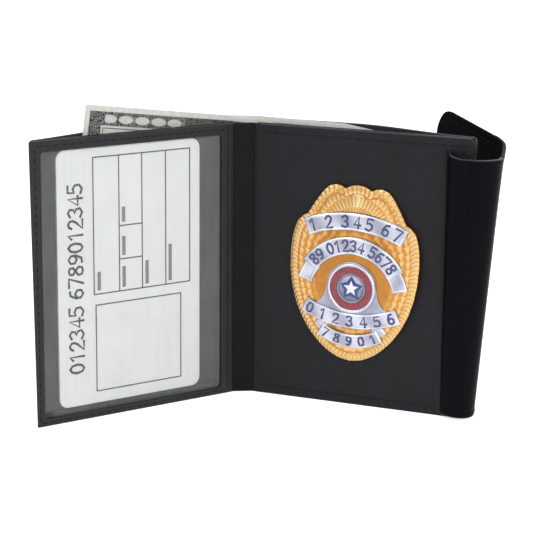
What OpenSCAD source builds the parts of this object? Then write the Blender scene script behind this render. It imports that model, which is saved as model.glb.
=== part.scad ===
// Badge and ID wallet, standing open on its lower edges.
// A badge leaf and an ID leaf fold about a narrow spine, with a bill pocket behind all three.
// A closing cover is sewn to the badge leaf's face and rolls round the leaf's free end.
// Units are millimetres and +Z is up. The origin is on the badge leaf's lower edge, halfway along it.

/* [Leaves] */
// Height of the inner faces
leaf_h = 94.2; // [90:0.1:110]
// How far the outer shell stands above the inner faces
shell_rise = 1.6; // [0.5:0.1:4]
// Radius of the leaves' outer corners
leaf_corner_r = 1.6; // [1:0.1:6]
// Distance between the two fold lines
spine_w = 7.2; // [6.6:0.1:10]
// How far each fold line is bent from flat as the wallet stands
rest_fold = 28.6; // [15:0.1:45]

/* [Leather and boards] */
// Thickness of the inner face leather
face_t = 1.2; // [0.8:0.1:1.6]
// Thickness of the layer behind it: stiffener board, or window and card slot
core_t = 1.2; // [1.1:0.1:1.6]
// Thickness of the pocket lining
lining_t = 0.5; // [0.3:0.1:0.8]
// Free depth of the bill pocket
pocket_gap = 0.9; // [0.8:0.1:1.6]
// Thickness of the outer shell's leather
shell_t = 1.2; // [0.8:0.1:1.6]
// Width of the sewn margins that close the pockets
margin_w = 4; // [3:0.5:6]
// Slit left at each fold line between neighbouring panels
fold_slit = 0.15; // [0.1:0.05:0.3]

/* [ID window and card] */
// Width of the card
card_w = 54; // [48:0.5:58]
// Height of the card
card_h = 85.6; // [80:0.1:86]
// Thickness of the card
card_t = 0.76; // [0.5:0.02:0.8]
// Corner radius of the card
card_corner_r = 3.2; // [1:0.1:5]
// Free width of the slot on each side of a centred card
card_play = 7.25; // [1:0.05:9]
// How far the card has slid from the middle of its slot, towards the free end
card_shift = 1.35; // [0:0.05:7]
// Height of the strip that closes the slot's foot
slot_foot_h = 4.4; // [3:0.1:6]
// Thickness of the clear window sheet
window_t = 0.3; // [0.2:0.05:0.4]
// Leather left between the window and the free end
frame_side = 3.6; // [3:0.1:4]
// Leather left between the window and the fold line
frame_fold_side = 4.6; // [3:0.1:7]
// Leather left below the window
frame_foot = 2.5; // [2:0.1:3.5]
// Leather left above the window
frame_head = 3.6; // [3:0.1:4]
// Corner radius of the window
window_corner_r = 1.2; // [0.5:0.1:2]
// Free height between the card and the bottom of its slot
card_seat_clear = 0.1; // [0.05:0.05:0.3]

/* [Closing cover] */
// Thickness of the cover's leather
cover_t = 1.2; // [0.9:0.1:1.4]
// Height of the cover, along its folds
cover_h = 88.2; // [80:0.1:90]
// Distance from the badge leaf's free end to the cover's seam
seam_in = 7.6; // [6.5:0.1:8.5]
// Width of the thinned edge that is sewn down
hem_w = 3.6; // [2:0.1:6]
// Width of the first stretch of the roll at its foot
lead_w = 4; // [3.8:0.1:4.4]
// How far the roll leans outwards
roll_lean = 4.79; // [3:0.01:6]
// How far the roll leaves the leaf's face at the seam
roll_lead = 20; // [18:0.5:22]
// Width of each stretch of the roll
strip_w = 4; // [3.9:0.05:4.4]
// Width of the stretch that leads from the roll back to the flap
turn_w = 21.5; // [16:0.1:24]
// How much shorter this stretch and the flap are together than a leaf
flap_short = 2.5; // [1:0.5:12]
// Radius of the flap's free corners
flap_corner_r = 5; // [2:0.1:10]
// Height of the roll's foot above the leaves' lower edge
cover_lift = 0.8; // [0.7:0.1:2]
// Running clearance at each fold of the roll and at the leaf's face
cover_clear = 0.15; // [0.1:0.05:0.2]

/* [Badge] */
// Width of the badge
badge_w = 45.2; // [40:0.1:48]
// Height of the badge
badge_h = 60.4; // [54:0.1:66]
// Thickness of the badge at its edge
badge_edge_t = 1; // [0.8:0.1:1.4]
// How far the badge is domed
badge_dome = 2; // [1:0.1:2.2]
// Width of the raised border
border_w = 2.6; // [1.5:0.1:3.5]
// How far the border and the ribbons stand out of the dome
relief_t = 0.6; // [0.4:0.1:0.8]
// Height of the badge's centre above the leaf's foot
badge_z = 45.9; // [42:0.1:50]
// How far the badge leans to the side as it is pinned on
badge_turn = 2.3; // [0:0.1:4]
// Height of the upper three ribbons
ribbon_h = 5.8; // [5:0.1:6]
// Height of the lowest ribbon
foot_ribbon_h = 4.6; // [4:0.1:5]
// Outer radius of the seal's rim
seal_r = 8.5; // [8:0.1:9]
// Outer radius of the enamel ring
ring_r = 7.5; // [7:0.1:7.8]
// Inner radius of the enamel ring
ring_in_r = 5.4; // [5:0.1:6]
// Radius of the enamel field in the middle
field_r = 4.4; // [4:0.1:4.8]
// Radius of the star's points
star_r = 3.2; // [2.6:0.1:3.6]
// Distance from the badge's centre down to the seal's centre
seal_drop = 4.5; // [4:0.1:5]
// Diameter of the pin wire
pin_d = 0.9; // [0.7:0.1:1]
// Distance between the pin's hinge block and its catch
pin_span = 40; // [34:0.5:42]
// Width of the hinge block and the catch
block_w = 4.5; // [4:0.1:5]
// Length of the hinge block and the catch along the pin
block_l = 3.4; // [3:0.1:4]

/* [Banknotes] */
// How much longer the pocket is inside than a note
note_play = 25.4; // [20:0.1:30]
// Height of a note
note_h = 66; // [60:0.5:70]
// Thickness of a note
note_t = 0.12; // [0.1:0.01:0.15]
// Distance from the pocket's end seam to the front note's upper corner
front_note_gap = 17.9; // [14:0.1:20]
// Height of that corner
front_note_z = 104.1; // [98:0.1:108]
// How far the front note leans
front_note_lean = 7.9; // [5:0.1:9]
// Distance from the pocket's end seam to the rear note's upper corner
rear_note_gap = 22.5; // [19:0.1:24]
// Height of that corner
rear_note_z = 97.4; // [96:0.1:100]
// How far the rear note leans
rear_note_lean = 1.1; // [0:0.1:3]
// Distance on the badge leaf from which the rear note's corner is turned down
rear_turn_x = 31; // [20:1:40]
// Slope of that turned corner
corner_turn = 8.5; // [5:0.1:12]

/* [Hidden] */
$fn = 48;

// Each leaf is as wide as the card, its play and the sewn margins
leaf_w = card_w + 2 * (card_play + margin_w);

// Depths of the layers, counted from the inner face backwards
front_stack = face_t + core_t + lining_t;
shell_front = front_stack + pocket_gap;
leaf_depth = shell_front + shell_t;
shell_h = leaf_h + shell_rise;
overrun = cover_t;

// Card slot, and the card's place in it
card_slot_t = core_t - window_t;
card_in = (leaf_w - card_w) / 2 + card_shift;
card_z = slot_foot_h + card_seat_clear;

// Cover: axis of the seam, and the bend at each fold from the first to the flap
seam_x = leaf_w - seam_in;
bead_r = cover_t / 2;
seam_y = -(bead_r + 2 * cover_clear);
socket_r = bead_r + cover_clear;
roll_bends = [28, 47, 44, 3, 2, 26];
roll_folds = len(roll_bends);
function stretch_w(k) = k == 0 ? 0 : k == roll_folds - 1 ? turn_w : strip_w;
facing_share = 0.42;
flap_w = leaf_w + strip_w - flap_short - turn_w;
lead_foot_z = cover_lift + lead_w * tan(roll_lean);
lead_head_z = cover_lift + cover_h / cos(roll_lean) + lead_w * tan(roll_lean);

// Badge: the dome is a cap of this sphere
dome_r = (pow(badge_h / 2, 2) + pow(badge_dome, 2)) / (2 * badge_dome);
dome_fn = 360;
badge_outline_shares = [
  [0, 1], [0.1, 0.99], [0.17, 0.965], [0.21, 0.95], [0.27, 0.975], [0.36, 0.985], [0.46, 0.96],
  [0.54, 0.9], [0.62, 0.81], [0.71, 0.7], [0.77, 0.62], [0.83, 0.6], [0.92, 0.53], [0.97, 0.42],
  [1, 0.26], [1, 0.08], [0.975, -0.12], [0.92, -0.3], [0.83, -0.48], [0.71, -0.64], [0.56, -0.78],
  [0.38, -0.9], [0.19, -0.975], [0, -1]
];
crest_outline_shares = [
  [0, 1], [0.09, 0.985], [0.15, 0.94], [0.2, 0.925], [0.27, 0.95], [0.36, 0.96], [0.45, 0.935],
  [0.53, 0.87], [0.6, 0.78], [0.67, 0.69], [0.52, 0.72], [0.36, 0.75], [0.18, 0.768], [0, 0.775]
];
block_inset_share = 0.5;

// The badge sits a little beyond the middle of the face that the cover leaves free
badge_x_share = 0.567;
badge_x = (seam_x - hem_w) * badge_x_share;

// Notes: their depths in the pocket, the length of note in each bend, and their places
front_note_y = front_stack + pocket_gap / 3;
rear_note_y = front_stack + 2 * pocket_gap / 3;
function bend_l(y) = y * rest_fold * PI / 180;
note_l = 2 * (leaf_w - margin_w) + spine_w + 2 * bend_l(rear_note_y) - note_play;
front_note_in = leaf_w - margin_w - front_note_gap;
rear_note_in = leaf_w - margin_w - rear_note_gap;
rear_turn_s = -spine_w - 2 * bend_l(rear_note_y) - rear_turn_x;
bend_lap_a = 1;
bend_t_share = 0.9;

// On the badge leaf, x runs from the fold line to the free end and y from the face backwards
module leaf_place() {
  translate([-leaf_w / 2, -face_t / 2, 0]) children();
}

module spine_place() {
  leaf_place() rotate([0, 0, rest_fold]) children();
}

// On the ID leaf, x runs from the fold line to the free end
module id_place() {
  spine_place() translate([-spine_w, 0, 0]) rotate([0, 0, rest_fold]) mirror([1, 0, 0]) children();
}

// An upright slab of a flat outline, from depth y backwards
module slab(y, t) {
  translate([0, y + t, 0]) rotate([90, 0, 0]) linear_extrude(t) children();
}

// An outline from the fold line to the free end, with the free end's two corners rounded
module leaf_outline(x0, x1, z0, z1, r) {
  translate([x0, z0]) square([x1 - x0 - r, z1 - z0]);
  translate([x1 - r, z0 + r]) square([r, z1 - z0 - 2 * r]);
  translate([x1 - r, z0 + r]) circle(r);
  translate([x1 - r, z1 - r]) circle(r);
}

module rounded_outline(x0, x1, z0, z1, r) {
  translate([x0 + r, z0]) square([x1 - x0 - 2 * r, z1 - z0]);
  translate([x0, z0 + r]) square([x1 - x0, z1 - z0 - 2 * r]);
  for (x = [x0 + r, x1 - r], z = [z0 + r, z1 - r]) translate([x, z]) circle(r);
}

module face_outline() {
  leaf_outline(fold_slit, leaf_w, 0, leaf_h, leaf_corner_r);
}

// Badge leaf: face leather with two slots for the pin's block and catch
module pin_slots(grow) {
  for (side = [-1, 1])
    translate([-block_w / 2 - grow, side * pin_span / 2 - block_l / 2 - grow])
      square([block_w + 2 * grow, block_l + 2 * grow]);
}

module badge_turned() {
  translate([badge_x, badge_z]) rotate(-badge_turn) children();
}

module badge_face() {
  color("#2b2c2f") leaf_place() slab(0, face_t) difference() {
    face_outline();
    badge_turned() pin_slots(cover_clear);
  }
}

module badge_stiffener() {
  color("#6b5d4b") leaf_place() slab(face_t, core_t) difference() {
    leaf_outline(margin_w / 2, leaf_w - margin_w / 4, margin_w / 4, leaf_h - margin_w / 4, leaf_corner_r);
    badge_turned() union() {
      pin_slots(cover_clear);
      translate([-pin_d, -pin_span / 2]) square([2 * pin_d, pin_span]);
    }
  }
}

module badge_lining() {
  color("#1d1d20") leaf_place() slab(face_t + core_t, lining_t) face_outline();
}

module shell_outline() {
  leaf_outline(fold_slit, leaf_w, 0, shell_h, leaf_corner_r);
}

module shell_badge() {
  color("#242427") leaf_place() slab(shell_front, shell_t) shell_outline();
}

// The sewn strips that close the bill pocket along its foot and its end
module pocket_foot() {
  slab(front_stack, pocket_gap)
    translate([fold_slit, 0]) square([leaf_w - fold_slit - leaf_corner_r, margin_w]);
}

module pocket_end() {
  slab(front_stack, pocket_gap)
    translate([leaf_w - margin_w, margin_w]) square([margin_w, leaf_h - margin_w - leaf_corner_r]);
}

module pocket_foot_badge() {
  color("#1d1d20") leaf_place() pocket_foot();
}

module pocket_end_badge() {
  color("#1d1d20") leaf_place() pocket_end();
}

// Badge: each layer is an outline cut from a domed disc
module badge_place() {
  leaf_place() translate([badge_x, 0, badge_z]) rotate([0, badge_turn, 0]) children();
}

module mirrored_outline(shares, w, h) {
  right = [for (p = shares) [p[0] * w / 2, p[1] * h / 2]];
  last = len(shares) - 1;
  left = [for (i = [last : -1 : 0]) if (shares[i][0] > 0) [-shares[i][0] * w / 2, shares[i][1] * h / 2]];
  polygon(concat(right, left));
}

// The part of an outline between two heights above the badge's edge plane, following the dome
module domed(low, high) {
  back = -badge_edge_t;
  intersection() {
    rotate([90, 0, 0])
      linear_extrude(badge_edge_t + badge_dome + 2 * relief_t + high) children();
    difference() {
      translate([0, back - badge_dome + dome_r, 0]) rotate([90, 0, 0]) sphere(dome_r + high, $fn = dome_fn);
      translate([0, back - badge_dome + dome_r, 0]) rotate([90, 0, 0]) sphere(dome_r + low, $fn = dome_fn);
    }
  }
}

module badge_outline() {
  mirrored_outline(badge_outline_shares, badge_w, badge_h);
}

module badge_plate() {
  color("#d9a441") badge_place() difference() {
    intersection() {
      rotate([90, 0, 0]) linear_extrude(badge_edge_t + badge_dome) badge_outline();
      translate([0, -badge_edge_t - badge_dome + dome_r, 0])
        rotate([90, 0, 0]) sphere(dome_r, $fn = dome_fn);
    }
    translate([0, -seal_foot, -seal_drop]) rotate([90, 0, 0]) cylinder(r = seal_r, h = badge_dome);
  }
}

module badge_border() {
  color("#e8c06a") badge_place() domed(0, relief_t) difference() {
    badge_outline();
    mirrored_outline(badge_outline_shares, badge_w - 2 * border_w, badge_h - 2 * border_w);
    top_ribbon_outline();
    lower_ribbon_outline();
    foot_ribbon_outline();
  }
}

module badge_crest() {
  inner_w = badge_w - 2 * border_w - 2 * cover_clear;
  inner_h = badge_h - 2 * border_w - 2 * cover_clear;
  color("#e2b556") badge_place() domed(0, relief_t) difference() {
    mirrored_outline(crest_outline_shares, inner_w, inner_h);
    top_ribbon_outline();
  }
}

// A ribbon bent round a centre at height cz: mean radius r, band height h, from angle a0 to a1
module ribbon_band(cz, r, h, a0, a1) {
  reach = 2 * (r + h);
  middle = (a0 + a1) / 2;
  translate([0, cz]) intersection() {
    difference() {
      circle(r + h / 2, $fn = 120);
      circle(r - h / 2, $fn = 120);
    }
    polygon([
      [0, 0],
      [reach * cos(a0), reach * sin(a0)],
      [reach * cos(middle), reach * sin(middle)],
      [reach * cos(a1), reach * sin(a1)]
    ]);
  }
}

// Each ribbon is set by its middle height, half its span and how far its ends drop
function bow_r(half_span, drop) = (pow(half_span, 2) + pow(drop, 2)) / (2 * drop);
top_ribbon_z_share = 0.6;
top_ribbon_span_share = 0.77;
top_ribbon_drop_share = 0.06;
arch_drop_share = -0.265;
arch_r_share = 0.8;
arch_a = 27;
lower_ribbon_z_share = -0.525;
lower_ribbon_span_share = 0.74;
lower_ribbon_drop_share = 0.062;
foot_ribbon_z_share = -0.76;
foot_ribbon_span_share = 0.47;
foot_ribbon_drop_share = 0.05;

module bowed_ribbon(z_share, span_share, drop_share, h, up) {
  half_span = span_share * badge_w / 2;
  drop = drop_share * badge_h;
  r = bow_r(half_span, drop);
  a = asin(half_span / r);
  middle_z = z_share * badge_h / 2;
  ribbon_band(middle_z - up * r, r, h, up * 90 - a, up * 90 + a);
}

module top_ribbon_outline() {
  bowed_ribbon(top_ribbon_z_share, top_ribbon_span_share, top_ribbon_drop_share, ribbon_h, 1);
}

module lower_ribbon_outline() {
  bowed_ribbon(lower_ribbon_z_share, lower_ribbon_span_share, lower_ribbon_drop_share,
    ribbon_h - relief_t, -1);
}

module foot_ribbon_outline() {
  bowed_ribbon(foot_ribbon_z_share, foot_ribbon_span_share, foot_ribbon_drop_share, foot_ribbon_h, -1);
}

module ribbon_top() {
  color("#d6d8da") badge_place() domed(0, 2 * relief_t) top_ribbon_outline();
}

module ribbon_arch() {
  color("#d6d8da") badge_place() domed(0, 2 * relief_t)
    ribbon_band(arch_drop_share * badge_h / 2, arch_r_share * badge_w / 2, ribbon_h, arch_a, 180 - arch_a);
}

module ribbon_lower() {
  color("#d6d8da") badge_place() domed(0, 2 * relief_t) lower_ribbon_outline();
}

module ribbon_foot() {
  color("#d6d8da") badge_place() domed(0, 2 * relief_t) foot_ribbon_outline();
}

// Seal: concentric rings in a dished rim, which is set in a flat seat in the dome
seal_seat_share = 0.7;
seal_foot = badge_edge_t + badge_dome * seal_seat_share;
seal_t = 2.5 * relief_t;

module seal_place() {
  badge_place() translate([0, -seal_foot, -seal_drop]) rotate([90, 0, 0]) children();
}

module seal_rim() {
  color("#d6d8da") seal_place() difference() {
    cylinder(r = seal_r, h = seal_t);
    translate([0, 0, relief_t]) cylinder(r = ring_r, h = seal_t);
  }
}

module seal_tube(r_out, r_in, t) {
  translate([0, 0, relief_t]) difference() {
    cylinder(r = r_out, h = t);
    if (r_in > 0) translate([0, 0, -overrun]) cylinder(r = r_in, h = t + 2 * overrun);
  }
}

module seal_ring() {
  color("#b3202c") seal_place() seal_tube(ring_r, ring_in_r, seal_t - relief_t);
}

module seal_band() {
  color("#9aa3ad") seal_place() seal_tube(ring_in_r, field_r, seal_t - relief_t);
}

module seal_field() {
  color("#1e2f6b") seal_place() seal_tube(field_r, 0, seal_t / 2 - relief_t / 2);
}

module seal_star() {
  points = 5;
  inner_share = 0.4;
  color("#f2f2ee") seal_place() translate([0, 0, relief_t + seal_t / 2 - relief_t / 2])
    linear_extrude(relief_t / 2)
      polygon([for (i = [0 : 2 * points - 1])
        let (r = star_r * (i % 2 == 0 ? 1 : inner_share), a = 90 + i * 180 / points)
        [r * cos(a), r * sin(a)]]);
}

// Pin: the block and the catch pass through the face, and the wire lies behind it
block_d = face_t + core_t / 2 + pin_d / 2 + cover_clear;
pin_y = face_t + core_t / 2;

module pin_block() {
  color("#b9bcc0") badge_place() difference() {
    translate([-block_w / 2, 0, pin_span / 2 - block_l / 2]) cube([block_w, block_d, block_l]);
    translate([-pin_d / 2 - cover_clear, pin_y - pin_d, pin_span / 2 - block_l / 2 - overrun])
      cube([pin_d + 2 * cover_clear, block_d, block_l * block_inset_share + overrun]);
  }
}

module pin_stem() {
  tip_l = 3 * pin_d;
  color("#b9bcc0") badge_place() translate([0, pin_y, 0]) {
    translate([0, 0, -pin_span / 2 + tip_l - block_l * block_inset_share / 2])
      cylinder(d = pin_d, h = pin_span - tip_l + block_l * block_inset_share / 2);
    translate([0, 0, -pin_span / 2 - block_l * block_inset_share / 2])
      cylinder(d1 = pin_d / 3, d2 = pin_d, h = tip_l);
  }
}

module pin_catch() {
  color("#b9bcc0") badge_place() difference() {
    translate([-block_w / 2, 0, -pin_span / 2 - block_l / 2]) cube([block_w, block_d, block_l]);
    translate([0, pin_y, -pin_span / 2 - block_l / 2 - overrun])
      cylinder(r = pin_d / 2 + cover_clear / 2, h = block_l + 2 * overrun);
    translate([0, pin_y - pin_d / 2 - cover_clear / 2, -pin_span / 2 - block_l / 2 - overrun])
      cube([block_w, pin_d + cover_clear, block_l + 2 * overrun]);
  }
}

// Spine: inner strip, outer shell, and the shell's bends round the two fold lines
module spine_outline(h) {
  translate([-spine_w + fold_slit, 0]) square([spine_w - 2 * fold_slit, h]);
}

module spine_face() {
  color("#1b1b1e") spine_place() slab(0, face_t) spine_outline(leaf_h);
}

module spine_lining() {
  color("#1d1d20") spine_place() slab(face_t, lining_t) spine_outline(leaf_h);
}

// The pocket's seam along the spine's foot gathers the lining and the shell
module pocket_foot_spine() {
  front = face_t + lining_t;
  color("#1d1d20") spine_place() slab(front, shell_front - front) spine_outline(margin_w);
}

module shell_spine() {
  color("#242427") spine_place() slab(shell_front, shell_t) spine_outline(shell_h);
}

// A ring sector about a fold line, from straight behind the leaf towards the spine
module fold_bend(r_in, r_out, h) {
  rotate([0, 0, 90]) rotate_extrude(angle = rest_fold) translate([r_in, 0]) square([r_out - r_in, h]);
}

module shell_fold_badge() {
  color("#242427") leaf_place() fold_bend(shell_front, leaf_depth, shell_h);
}

module shell_fold_id() {
  color("#242427") spine_place() translate([-spine_w, 0, 0]) fold_bend(shell_front, leaf_depth, shell_h);
}

// A note as one flat outline: s runs from the ID leaf's fold line to its free end.
// Its far upper corner may be turned down behind it, from s = turn_s onwards.
module note_outline(s, z, lean, turn_s) {
  difference() {
    translate([s, z]) rotate(lean) translate([-note_l, -note_h]) square([note_l, note_h]);
    translate([turn_s, z - (s - turn_s) * tan(lean)]) rotate(corner_turn) translate([-note_l, 0])
      square([note_l, note_h]);
  }
}

// The note's bend round a fold line; its ends reach a little way into the flat stretches
module note_bend(s, z, lean, y, at) {
  head = z - (s - at) * tan(lean);
  foot = head - note_h / cos(lean);
  inner = note_t * (1 - bend_t_share) / 2;
  translate([0, 0, foot]) rotate([0, 0, 90 - bend_lap_a])
    rotate_extrude(angle = rest_fold + 2 * bend_lap_a)
      translate([y - note_t / 2 + inner, 0]) square([note_t * bend_t_share, head - foot]);
}

module banknote(s, z, lean, y, turn_s) {
  run = bend_l(y);
  id_place() slab(y - note_t / 2, note_t) intersection() {
    note_outline(s, z, lean, turn_s);
    square([leaf_w, 2 * leaf_h]);
  }
  spine_place() translate([-spine_w, 0, 0]) note_bend(s, z, lean, y, -run / 2);
  spine_place() slab(y - note_t / 2, note_t) intersection() {
    translate([-spine_w - run, 0]) mirror([1, 0]) note_outline(s, z, lean, turn_s);
    translate([-spine_w, 0]) square([spine_w, 2 * leaf_h]);
  }
  leaf_place() note_bend(s, z, lean, y, -run - spine_w - run / 2);
  leaf_place() slab(y - note_t / 2, note_t) intersection() {
    translate([-spine_w - 2 * run, 0]) mirror([1, 0]) note_outline(s, z, lean, turn_s);
    square([leaf_w, 2 * leaf_h]);
  }
}

module banknote_front() {
  color("#c9cdb8") banknote(front_note_in, front_note_z, front_note_lean, front_note_y, -note_l);
}

module banknote_rear() {
  color("#c9cdb8") banknote(rear_note_in, rear_note_z, rear_note_lean, rear_note_y, rear_turn_s);
}

// ID leaf: window frame, clear sheet, card in its slot, backing, shell
module id_frame() {
  color("#2f3033") id_place() slab(0, face_t) difference() {
    face_outline();
    rounded_outline(frame_fold_side, leaf_w - frame_side, frame_foot, leaf_h - frame_head, window_corner_r);
  }
}

module id_window() {
  color("#c8ccd0", 0.35) id_place() slab(face_t, window_t)
    rounded_outline(frame_fold_side / 2, leaf_w - frame_side / 2, frame_foot / 2, leaf_h - frame_head / 2,
      window_corner_r);
}

// The card's slot is closed at its foot and both sides by strips behind the clear sheet
module card_slot_strip(x0, x1, z0, z1) {
  color("#1d1d20") id_place() slab(face_t + window_t, card_slot_t)
    translate([x0, z0]) square([x1 - x0, z1 - z0]);
}

module card_slot_foot() {
  card_slot_strip(fold_slit, leaf_w - leaf_corner_r, 0, slot_foot_h);
}

module card_slot_fold_side() {
  card_slot_strip(fold_slit, margin_w, slot_foot_h, leaf_h);
}

module card_slot_end_side() {
  card_slot_strip(leaf_w - margin_w, leaf_w, slot_foot_h, leaf_h - leaf_corner_r);
}

module id_card() {
  card_y = face_t + window_t + (card_slot_t - card_t) / 2;
  color("#e4e6e8") id_place() slab(card_y, card_t)
    rounded_outline(card_in, card_in + card_w, card_z, card_z + card_h, card_corner_r);
}

module id_backing() {
  color("#2a2a2d") id_place() slab(face_t + core_t, lining_t) face_outline();
}

module shell_id() {
  color("#242427") id_place() slab(shell_front, shell_t) shell_outline();
}

module pocket_foot_id() {
  color("#1d1d20") id_place() pocket_foot();
}

module pocket_end_id() {
  color("#1d1d20") id_place() pocket_end();
}

// Closing cover: upright slabs that follow one another round the leaf's free end.
// Each ends in a round bead on the next fold's axis, and starts with a hollow round the last bead.
module seam_place() {
  leaf_place() translate([seam_x, seam_y, 0]) rotate([0, 0, -roll_lead]) children();
}

module lean_place() {
  seam_place() translate([lead_w, 0, cover_lift]) rotate([0, roll_lean, 0]) children();
}

// The frame after fold k, with x along the leather and z along the fold
module roll_place(k) {
  if (k == 0) {
    lean_place() children();
  } else {
    roll_place(k - 1) translate([stretch_w(k - 1), 0, 0]) rotate([0, 0, roll_bends[k - 1]]) children();
  }
}

// The thinned hem is sewn to the face, and the leather leaves it at a bead and leads to the first fold
module cover_hem() {
  lean_run = cover_h * sin(roll_lean);
  color("#1c1b20") {
    leaf_place() translate([seam_x, seam_y, lead_foot_z]) cylinder(r = bead_r, h = lead_head_z - lead_foot_z);
    leaf_place() translate([0, 0, lead_foot_z]) linear_extrude(lead_head_z - lead_foot_z) polygon([
      [seam_x - hem_w, 0],
      [seam_x, 0],
      [seam_x, seam_y - bead_r],
      [seam_x - bead_r, seam_y - bead_r]
    ]);
    seam_place() translate([0, bead_r, 0]) rotate([90, 0, 0]) linear_extrude(cover_t) polygon([
      [0, lead_foot_z],
      [lead_w, cover_lift],
      [lead_w + lean_run, cover_lift + cover_h * cos(roll_lean)],
      [0, lead_head_z]
    ]);
    lean_place() cylinder(r = bead_r, h = cover_h);
  }
}

module cover_strip(k) {
  color("#1c1b20") roll_place(k) difference() {
    union() {
      translate([0, -bead_r, 0]) cube([stretch_w(k), cover_t, cover_h]);
      translate([stretch_w(k), 0, 0]) cylinder(r = bead_r, h = cover_h);
    }
    translate([0, 0, -overrun]) cylinder(r = socket_r, h = cover_h + 2 * overrun);
  }
}

module cover_strip_1() cover_strip(1);
module cover_strip_2() cover_strip(2);
module cover_strip_3() cover_strip(3);
module cover_strip_4() cover_strip(4);
module cover_strip_5() cover_strip(5);

// The flap is two layers sewn together: leather outside and a thinner facing
module flap_layer(y0, t) {
  roll_place(roll_folds) difference() {
    slab(y0, t) leaf_outline(0, flap_w, 0, cover_h, flap_corner_r);
    translate([0, 0, -overrun]) cylinder(r = socket_r, h = cover_h + 2 * overrun);
  }
}

module cover_flap() {
  color("#1f1e22") flap_layer(-bead_r + cover_t * facing_share, cover_t * (1 - facing_share));
}

module cover_flap_facing() {
  color("#19181c") flap_layer(-bead_r, cover_t * facing_share);
}

badge_face();
badge_stiffener();
badge_lining();
shell_badge();
pocket_foot_badge();
pocket_end_badge();
badge_plate();
badge_border();
badge_crest();
ribbon_top();
ribbon_arch();
ribbon_lower();
ribbon_foot();
seal_rim();
seal_ring();
seal_band();
seal_field();
seal_star();
pin_block();
pin_stem();
pin_catch();
cover_hem();
spine_face();
spine_lining();
pocket_foot_spine();
shell_spine();
shell_fold_badge();
shell_fold_id();
banknote_front();
banknote_rear();
id_frame();
id_window();
id_card();
card_slot_foot();
card_slot_fold_side();
card_slot_end_side();
id_backing();
shell_id();
pocket_foot_id();
pocket_end_id();
cover_strip_1();
cover_strip_2();
cover_strip_3();
cover_strip_4();
cover_strip_5();
cover_flap();
cover_flap_facing();
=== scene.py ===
import functools
import math

import bpy
import numpy as np
from mathutils import Matrix, Vector


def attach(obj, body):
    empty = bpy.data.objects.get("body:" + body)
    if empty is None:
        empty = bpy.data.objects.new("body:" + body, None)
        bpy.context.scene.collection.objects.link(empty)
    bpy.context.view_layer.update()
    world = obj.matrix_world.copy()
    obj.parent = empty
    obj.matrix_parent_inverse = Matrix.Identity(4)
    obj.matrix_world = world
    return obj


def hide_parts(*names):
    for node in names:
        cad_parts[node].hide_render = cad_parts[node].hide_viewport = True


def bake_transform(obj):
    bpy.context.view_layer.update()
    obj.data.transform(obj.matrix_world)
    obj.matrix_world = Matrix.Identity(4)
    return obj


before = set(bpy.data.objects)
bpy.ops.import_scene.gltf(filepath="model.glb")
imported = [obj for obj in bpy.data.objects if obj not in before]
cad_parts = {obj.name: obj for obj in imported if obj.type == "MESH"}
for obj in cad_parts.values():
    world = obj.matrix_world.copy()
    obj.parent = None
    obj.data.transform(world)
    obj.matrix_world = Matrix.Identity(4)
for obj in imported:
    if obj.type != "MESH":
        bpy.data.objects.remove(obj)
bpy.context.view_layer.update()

# Sizes of the wallet, in mm

MM = 0.001
FOLD = math.radians(28.6)
SPINE_W, NEAR_FOLD = 7.2, 2.0
LEAF_W, LEAF_H, SHELL_H, CORNER_R = 76.5, 94.2, 95.8, 1.6
# Depths behind a leaf's face, layer by layer
FACE_T, SLOT_Y, BACKING_Y, POCKET_Y, SHELL_Y, SHELL_T = 1.2, 1.5, 2.4, 2.9, 3.8, 1.2
SHELL_BACK, SHELL_MID = SHELL_Y + SHELL_T, SHELL_Y + SHELL_T / 2
WINDOW = (4.6, 72.9, 2.5, 90.6)
SEAM_IN, FLAP_SEAM_IN = 2.9, 2.6
SEAM_X, SEAM_Y, LEAD_TURN = 68.9, -0.9, math.radians(-20)
HEM_W, LEAD_W, LEAN, LIFT = 3.6, 4.0, math.radians(4.79), 0.8
COVER_H, COVER_T = 88.2, 1.2
ROLL_BENDS = np.radians((28, 47, 44, 3, 2, 26))
ROLL_RADII = (4.6, 4.6, 4.6, 4.6, 4.6, 34.0)
STRETCHES = (4.0, 4.0, 4.0, 4.0, 21.5)
FLAP_W, FLAP_START, FLAP_R = 56.5, 9.0, 10.0
LEAD_DRAWN, DIP = 0.5, 0.8
NOTE_L, NOTE_H, NOTE_T = 130.3, 66.0, 0.12
BADGE_X, BADGE_Z, BADGE_TURN = 37.025, 45.9, math.radians(2.3)
BADGE_W, BADGE_H, BORDER_W = 45.2, 60.4, 2.6
DOME_R, DOME_TOP = 229.01, 3.0
SEAL_Z, SEAL_FOOT = -4.5, 2.4


# Places on the bodies

def turned(x, y, angle):
    """A point turned about the origin by an angle in radians."""
    return x * math.cos(angle) - y * math.sin(angle), x * math.sin(angle) + y * math.cos(angle)


def part_way(value, start, end):
    """How far a value has come from start to end, from 0 to 1."""
    return np.clip((value - start) / (end - start), 0, 1)


def smooth(t):
    """Eases from 0 to 1: t^2 (3 - 2 t)."""
    t = np.clip(t, 0, 1)
    return t * t * (3 - 2 * t)


def in_row(x, y, z):
    """Millimetres on the badge leaf (x from the fold line, y backwards from the face) in the row frame."""
    return np.stack(np.broadcast_arrays(x - LEAF_W / 2, y - FACE_T / 2, z), -1) * MM


def on_spine(x, y, z):
    """The spine strip, turned by FOLD about the badge leaf's fold line; x is negative along it."""
    return in_row(*turned(x, y, FOLD), z)


def on_id_leaf(u, y, z):
    """u from the ID leaf's fold line towards its free end."""
    x, depth = turned(-u, y, FOLD)
    return on_spine(x - SPINE_W, depth, z)


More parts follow.
